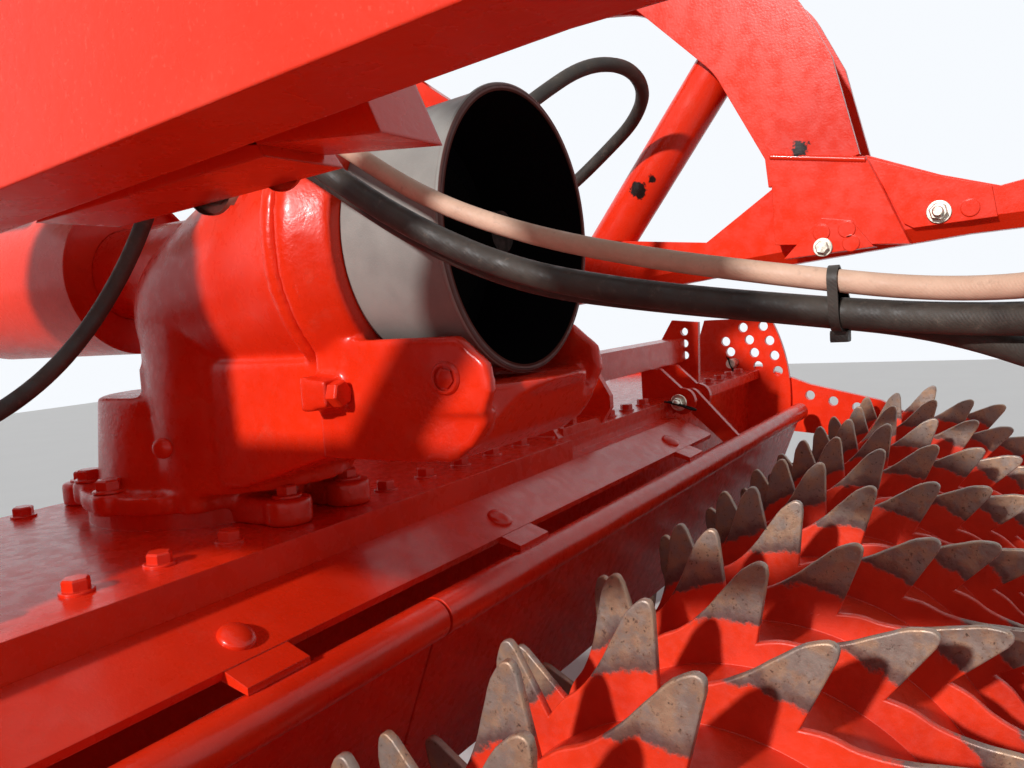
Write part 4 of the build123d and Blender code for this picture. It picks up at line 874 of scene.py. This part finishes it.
def hex_head(target, place, axis, corner, height, washer=0.0):
    """A hexagon head of that corner radius and height, on a washer, added to a bmesh (millimetres)."""
    if washer:
        inner = washer - WASHER_EDGE
        ring = ((0, washer), (WASHER_T - WASHER_EDGE, washer), (WASHER_T, inner), (WASHER_T, 0))
        add_turned(target, ring, axis, place, 28)
        place = place + axis * WASHER_T * MM
    shape = ((0, corner), (0.84 * height, corner), (height, 0.87 * corner), (height, 0))
    add_turned(target, shape, axis, place, 6)


def dome_head(target, place, axis, radius):
    """A coach bolt's domed head, added to a bmesh (millimetres)."""
    arcs = [radians(15 * i) for i in range(7)]
    shape = [(0, radius)] + [(1 + 0.42 * radius * sin(t), radius * cos(t)) for t in arcs]
    add_turned(target, shape, axis, place, 28)


THREAD_PITCH = 1.75


def thread_end(target, place, axis, radius, length):
    """A bolt's threaded end, added to a bmesh (millimetres)."""
    shape = [(0, radius)]
    for turn in range(int(length / THREAD_PITCH)):
        shape += [(THREAD_PITCH * turn + 0.9, radius), (THREAD_PITCH * (turn + 1), 0.88 * radius)]
    shape += [(length, 0.8 * radius), (length, 0)]
    add_turned(target, shape, axis, place, 20)


def bead(target, start, end, radius):
    """A weld bead from place to place: overlapping scales along a line, added to a bmesh."""
    run = end - start
    scales = max(2, int(run.length / (0.9 * radius * MM)))
    shape = [(0, 0)]
    for scale in range(scales):
        along = run.length * scale / scales
        shape += [(along, 0.82 * radius * MM), (along + 0.55 * run.length / scales, radius * MM)]
    add_mesh(target, spin(shape + [(run.length, 0)], run.normalized(), start, 10))


# %% Bolts along the lid and on the gearbox's flange
# Columns: corner radius, height, radius of the washer
LID_HEAD = (10.5, 9, 13)
CAST_FOOT_HEAD = (10.5, 9, 14)
FLANGE_HEAD = (12, 10, 15)
LID_BOLT_PITCH = 72.0
LID_BOLTS_A_SIDE = 20
LID_END_X = 1460.0
# Columns: from, to. Stretches of |x| where the headstock and the brackets stand in the bolts' place
TAKEN = ((15, 50), (436, 622), (884, 1010), (1062, 1100))
FLANGE_BOLTS = 8
FLANGE_BOLT_R = 118.0
FLANGE_TOP = 652.0
numbers = range(-LID_BOLTS_A_SIDE, LID_BOLTS_A_SIDE + 1)
lid_xs = [x for x in (LID_BOLT_X + LID_BOLT_PITCH * number for number in numbers)
          if abs(x) < LID_END_X and not any(low < abs(x) < high for low, high in TAKEN)]
lid_bolts = bmesh.new()
for row in (LID_BOLT_U, -LID_BOLT_U):
    for x in lid_xs:
        hex_head(lid_bolts, at(x, row, LID_TOP), UP, *LID_HEAD)
for x, u in CAST_FEET:
    hex_head(lid_bolts, at(x, u, FOOT_TOP), UP, *CAST_FOOT_HEAD)
for number in range(FLANGE_BOLTS):
    turn = radians(360 / FLANGE_BOLTS * number)
    place = at(FLANGE_BOLT_R * cos(turn), FLANGE_BOLT_R * sin(turn), FLANGE_TOP)
    hex_head(lid_bolts, place, UP, *FLANGE_HEAD)
piece("lid_bolts", lid_bolts, "red_paint", "frame")
print("bolts in each row of the lid:", len(lid_xs))

# %% Coach bolts on the guard plate, and bolts on the gearbox
GUARD_SLOPE = radians(26.6)
# Columns: u, z where the guard plate starts to slope down
SLOPE_START = (211.0, 587.0)
STRAP_BOLT_XS = (190, 720)
STRAP_BOLT_U = 248.0
# Columns: x, u, z. The same on both sides
COVER_BOLT = (106, 289, 745)
SUMP_SCREW = (96.5, 393, 755)
SIDE_PLUG = (104, 68, 694)
# Columns: along, radius. The raised ring of the pocket round the sump's screw
POCKET = ((0, 9.5), (3, 9.5), (3, 11.5), (1, 13), (0, 13))
slope_normal = Vector((0, sin(GUARD_SLOPE), cos(GUARD_SLOPE)))
strap_bolt_z = SLOPE_START[1] - (STRAP_BOLT_U - SLOPE_START[0]) * tan(GUARD_SLOPE)
painted_bolts = bmesh.new()
for sign in (1, -1):
    for x in STRAP_BOLT_XS:
        dome_head(painted_bolts, on_side(sign, x, STRAP_BOLT_U, strap_bolt_z), slope_normal, 15)
    hex_head(painted_bolts, on_side(sign, *COVER_BOLT), REAR, 11, 11)
    add_turned(painted_bolts, POCKET, LEFT * sign, on_side(sign, *SUMP_SCREW), 40)
    hex_head(painted_bolts, on_side(sign, *SUMP_SCREW), LEFT * sign, 8, 2.5)
    dome_head(painted_bolts, on_side(sign, *SIDE_PLUG), Vector((0.9 * sign, 0.42, 0)).normalized(), 10)
piece("painted_bolts", painted_bolts, "red_paint", "frame")
print("guard plate's bolts at z =", round(strap_bolt_z, 1))

# %% [markdown]
# ### Bolts on the moving parts and at the ends
#
# Each rotor holds its two tines with bolts through the head, and they turn with it. The roller's bearings and
# the arm's pivot are bolted to the roller frame, so those heads move with that frame. The end plates' bolts
# stay with the trough. Each body gets a mesh of its own, because only so can it move alone.

# %% Bolts that turn with the rotors
ROTOR_COUNT = 10
BLADE_FACE = 143.0
TINE_BOLT_Z = 378.0
TINE_BOLT_SIDE = 22.0
for number in range(1, ROTOR_COUNT + 1):
    name = "rotor_" + str(number).zfill(2)
    low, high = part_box(name)
    hub = at(0, 0, TINE_BOLT_Z)
    hub.x = (low.x + high.x) / 2
    across, along = (LEFT, REAR) if number % 2 == 0 else (REAR, LEFT)
    tine_bolts = bmesh.new()
    for end in (1, -1):
        for side in (TINE_BOLT_SIDE, -TINE_BOLT_SIDE):
            place = hub + across * end * BLADE_FACE * MM + along * side * MM
            hex_head(tine_bolts, place, across * end, 12, 10, 15)
    piece(name + "_bolts", tine_bolts, "tine_steel", name)
print("rotors bolted:", ROTOR_COUNT)

# %% Bolts on the roller frame and on the end plates
BEARING_FACE_X = 1530.0
BEARING_BOLT_R = 48.0
# Columns: x, u, z
ARM_PIVOT = (1508.0, -150, 560)
END_BOLT_X = 1492.0
END_BOLT_US = (-115, -85, 20)
END_BOLT_Z = 448.0
roller_bolts = bmesh.new()
end_bolts = bmesh.new()
for sign in (1, -1):
    outwards = LEFT * sign
    for turn in (45, 135, 225, 315):
        u = ROLLER_U + BEARING_BOLT_R * cos(radians(turn))
        z = ROLLER_Z + BEARING_BOLT_R * sin(radians(turn))
        hex_head(roller_bolts, on_side(sign, BEARING_FACE_X, u, z), outwards, 10, 7, 13)
    hex_head(roller_bolts, on_side(sign, *ARM_PIVOT), outwards, 26, 18, 34)
    for u in END_BOLT_US:
        hex_head(end_bolts, on_side(sign, END_BOLT_X, u, END_BOLT_Z), outwards, 11, 9, 14)
piece("roller_frame_bolts", roller_bolts, "red_paint", "roller_frame")
piece("end_plate_bolts", end_bolts, "red_paint", "frame")
print("bolts on each end plate:", len(END_BOLT_US))

# %% [markdown]
# ## Weld seams
#
# The frame is welded from plate and tube. A seam is a row of small overlapping scales where two parts meet,
# and the paint runs over it. The bead helper turns such a row from one profile, and a ring bead goes round a
# tube. Both sides of the machine are welded alike, so one table does for both.

# %% Seams on the headstock, the brackets, the arms and the mast
# Columns: x of each seam, start as u and z, end as u and z, radius
SEAMS = (
    # Headstock side, foot plate, the board bracket's cheeks and its hole plate, each on the lid
    ((453, 471), (-180, LID_TOP), (182, LID_TOP), 4.5),
    ((595, 609), (42, LID_TOP), (183, LID_TOP), 4),
    ((899, 913, 983, 997), (130, LID_TOP), (183, LID_TOP), 3.5),
    ((1075, 1089), (60, LID_TOP), (172, LID_TOP), 3.5),
    # Drill arm on the headstock side, below and above
    ((470,), (-140, 790), (90, 790), 4),
    ((470,), (-140, 880), (70, 880), 4),
    # Foot of the swan neck on the drill arm
    ((447,), (498, 962), (606, 944), 4),
    ((456,), (512, 958), (592, 950), 4),
)
# Columns: along, radius. The bead round the mast tube
COLLAR = ((0, 43), (0, 49), (3, 48.5), (7, 45), (8, 43))
MAST_U = -150.0
MAST_Z = 1128.0
# Where the mast tube meets the headstock side and the top link's ear
MAST_OUTER_X = 454.0
MAST_INNER_X = 36.0
seams = bmesh.new()
for sign in (1, -1):
    for seam_xs, start, end, radius in SEAMS:
        for x in seam_xs:
            bead(seams, on_side(sign, x, *start), on_side(sign, x, *end), radius)
    add_turned(seams, COLLAR, LEFT * -sign, on_side(sign, MAST_OUTER_X, MAST_U, MAST_Z), 64)
    add_turned(seams, COLLAR, LEFT * sign, on_side(sign, MAST_INNER_X, MAST_U, MAST_Z), 64)
piece("weld_seams", seams, "red_paint", "frame", smooth=50)
print("straight seams a side:", sum(len(row[0]) for row in SEAMS))

# %% [markdown]
# ## The joint between a drill arm and its neck
#
# The foot of each swan neck is bolted to the drill arm through a thick joint plate, and a thin plate laps
# over the arm behind it. Round pads stand a millimetre proud, and a few bolts are bright and plated. The
# plates could be cut from the arm's own mesh, but as prisms between two x places they stay simple.

# %% Joint plates and pads on both arms
# Columns: u, z
JOINT_PLATE = ((511, 840), (555, 884), (588, 878), (611, 846))
LAP_PLATE = ((603, 948), (678, 918), (728, 902), (733, 868), (650, 864), (640, 870))
PLATES_OUTER_X = 470
JOINT_INNER_X = 441
LAP_INNER_X = 466
# Columns: x, u, z
PADS = (
    (JOINT_INNER_X, 555, 867), (JOINT_INNER_X, 583, 868), (JOINT_INNER_X, 587, 852), (LAP_INNER_X, 707, 880),
)
# Columns: along, radius
PAD_PROFILE = ((0, 9.5), (1.0, 9.5), (1.4, 9.0), (1.4, 0))
joint = bmesh.new()
for sign in (1, -1):
    add_mesh(joint, prism(JOINT_PLATE, sign * PLATES_OUTER_X, sign * JOINT_INNER_X))
    add_mesh(joint, prism(LAP_PLATE, sign * PLATES_OUTER_X, sign * LAP_INNER_X))
    for pad in PADS:
        add_turned(joint, PAD_PROFILE, LEFT * -sign, on_side(sign, *pad), 32)
piece("arm_joint_plates", joint, "red_paint", "frame")
print("pads a side:", len(PADS))

# %% Plated bolts on the joints and the board brackets
# Columns: x, u, z of the face, corner radius, height, washer, start of the thread from the face, its length
PLATED = (
    (466, 676, 879, 10, 8, 13, 8, 8),
    (441, 556, 850, 8, 6, 11, 0, 0),
    (882, 205, 612, 10, 8, 15, 10, 9),
)
THREAD_R = 6
plated = bmesh.new()
for sign in (1, -1):
    inwards = LEFT * -sign
    for x, u, z, corner, height, washer, thread_from, thread in PLATED:
        hex_head(plated, on_side(sign, x, u, z), inwards, corner, height, washer)
        if thread:
            thread_end(plated, on_side(sign, x - thread_from, u, z), inwards, THREAD_R, thread)
piece("plated_bolts", plated, "zinc_steel", "frame")
print("plated bolts a side:", len(PLATED))

# %% [markdown]
# ## Cable tie
#
# A black cable tie holds the three rear hoses together. It is drawn tight, so its line is the shortest loop
# round the three round sections. A ring could be shaped by eye, but their convex hull is that very loop.

# %% Cable tie round the hoses
TIE_U = 684.0
TIE_W = 5.0
TIE_T = 1.4
TIE_GAP = 0.4
TIE_STEPS = 48
# Columns: x, z, radius of each hose where the tie goes round
TIED = ((152.7, 791.2, 8.0), (134.2, 789.1, 8.0), (156.9, 807.7, 6.0))
# The ratchet head: x and z of its middle, its size along x, u and z, and its rounded edge
TIE_HEAD_PLACE = (146, 778.5)
TIE_HEAD_SIZE = (9, 9, 6)
TIE_HEAD_EDGE = 0.8


def loop_round(circles, gap):
    """The tight loop round circles at that gap, as (x, z) points."""
    turns = [2 * pi * i / TIE_STEPS for i in range(TIE_STEPS)]
    rim = [(x + (r + gap) * cos(turn), z + (r + gap) * sin(turn)) for x, z, r in circles for turn in turns]
    return [rim[i] for i in geometry.convex_hull_2d(rim)]


tie = bmesh.new()
halves = (-TIE_W / 2, TIE_W / 2)
inner, outer = (loop_round(TIED, gap) for gap in (TIE_GAP, TIE_GAP + TIE_T))
inner_rows, outer_rows = ([[tie.verts.new(at(x, TIE_U + half, z)) for x, z in loop] for half in halves]
                          for loop in (inner, outer))
for rows in (inner_rows, outer_rows):
    for i in range(len(rows[0])):
        after = (i + 1) % len(rows[0])
        tie.faces.new((rows[0][i], rows[0][after], rows[1][after], rows[1][i]))
for side in (0, 1):
    rims = [tie.edges.get((row[i], row[(i + 1) % len(row)])) for row in (inner_rows[side], outer_rows[side])
            for i in range(len(row))]
    bmesh.ops.bridge_loops(tie, edges=rims)
bmesh.ops.recalc_face_normals(tie, faces=tie.faces)
head = bmesh.new()
bmesh.ops.create_cube(head, size=1.0)
bmesh.ops.scale(head, vec=[size * MM for size in TIE_HEAD_SIZE], verts=head.verts)
bmesh.ops.bevel(head, geom=head.edges, offset=TIE_HEAD_EDGE * MM, segments=2)
bmesh.ops.translate(head, vec=at(TIE_HEAD_PLACE[0], TIE_U, TIE_HEAD_PLACE[1]), verts=head.verts)
add_mesh(tie, head)
piece("cable_tie", tie, "black_rubber", "frame")
print("points in the tie's loop:", len(outer))

# %% [markdown]
# ## Spring clips
#
# A spring clip keeps each stop pin of the roller frame and each pin of the board brackets from sliding out.
# It is one wire: a straight leg goes through the pin, and the other leg waves round it. Only the wire's bends
# are listed, and a curve with a round bevel runs smoothly through them.

# %% Spring clips on the stop pins, and on the board brackets' pins
CLIP_WIRE_R = 1.6
# Columns: along the pin, down from it. From the straight leg round the clip's eye to its wave
CLIP_BENDS = (
    (0, 16), (0, -14), (0, -30), (6, -40), (13, -34), (11, -24), (7, -12), (10, 0), (7, 10), (11, 19),
)
STOP_PIN_INSET = 78.0
STOP_CLIP_TURN = 20
# Columns: x, u, z
BOARD_PIN = (868, 205, 612)
BOARD_CLIP_TURN = 75


def wire(points):
    """A bent round wire through the points, as a mesh."""
    line = bpy.data.curves.new("wire", "CURVE")
    line.dimensions = "3D"
    line.bevel_depth = CLIP_WIRE_R * MM
    line.bevel_resolution = 3
    line.resolution_u = 6
    bend = line.splines.new("BEZIER")
    bend.bezier_points.add(len(points) - 1)
    for knot, place in zip(bend.bezier_points, points):
        knot.co = place
        knot.handle_left_type = knot.handle_right_type = "AUTO"
    return mesh_from(in_scene("wire", line))


clips = bmesh.new()
low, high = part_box("depth_pins")
pin_middle = (low + high) / 2
for sign in (1, -1):
    stop_pin = Vector((sign * (high.x - STOP_PIN_INSET * MM), pin_middle.y, pin_middle.z))
    for place, turn in ((stop_pin, STOP_CLIP_TURN), (on_side(sign, *BOARD_PIN), BOARD_CLIP_TURN)):
        tilt = Matrix.Rotation(radians(turn), 3, "X")
        bends = [place + tilt @ Vector((-sign * across * MM, 0, drop * MM)) for across, drop in CLIP_BENDS]
        clips.from_mesh(wire(bends))
piece("spring_clips", clips, "shaft_steel", "frame", smooth=60)
print("bends in each clip:", len(CLIP_BENDS))

# %% [markdown]
# ## The guard's rolled lip
#
# The guard's mouth ends in a lip that is rolled outwards, so the plastic doesn't split there. It has the same
# section all round, which makes it one more job for the spin helper.

# %% The lip at the guard's mouth
# Columns: along the axis from the mouth, radius
LIP = (
    (0, 113.6), (-3.2, 113.4), (-4.6, 114.4), (-4.4, 115.8), (-2.8, 116.6), (-1.0, 116.2), (0, 115.0),
    (0, 113.6),
)
lip_ring = bmesh.new()
add_turned(lip_ring, LIP, REAR, at(0, GUARD_MOUTH_U, SHAFT_Z), 128)
piece("guard_lip", lip_ring, "black_plastic", "frame", smooth=60)
print("radius of the lip:", max(radius for along, radius in LIP))
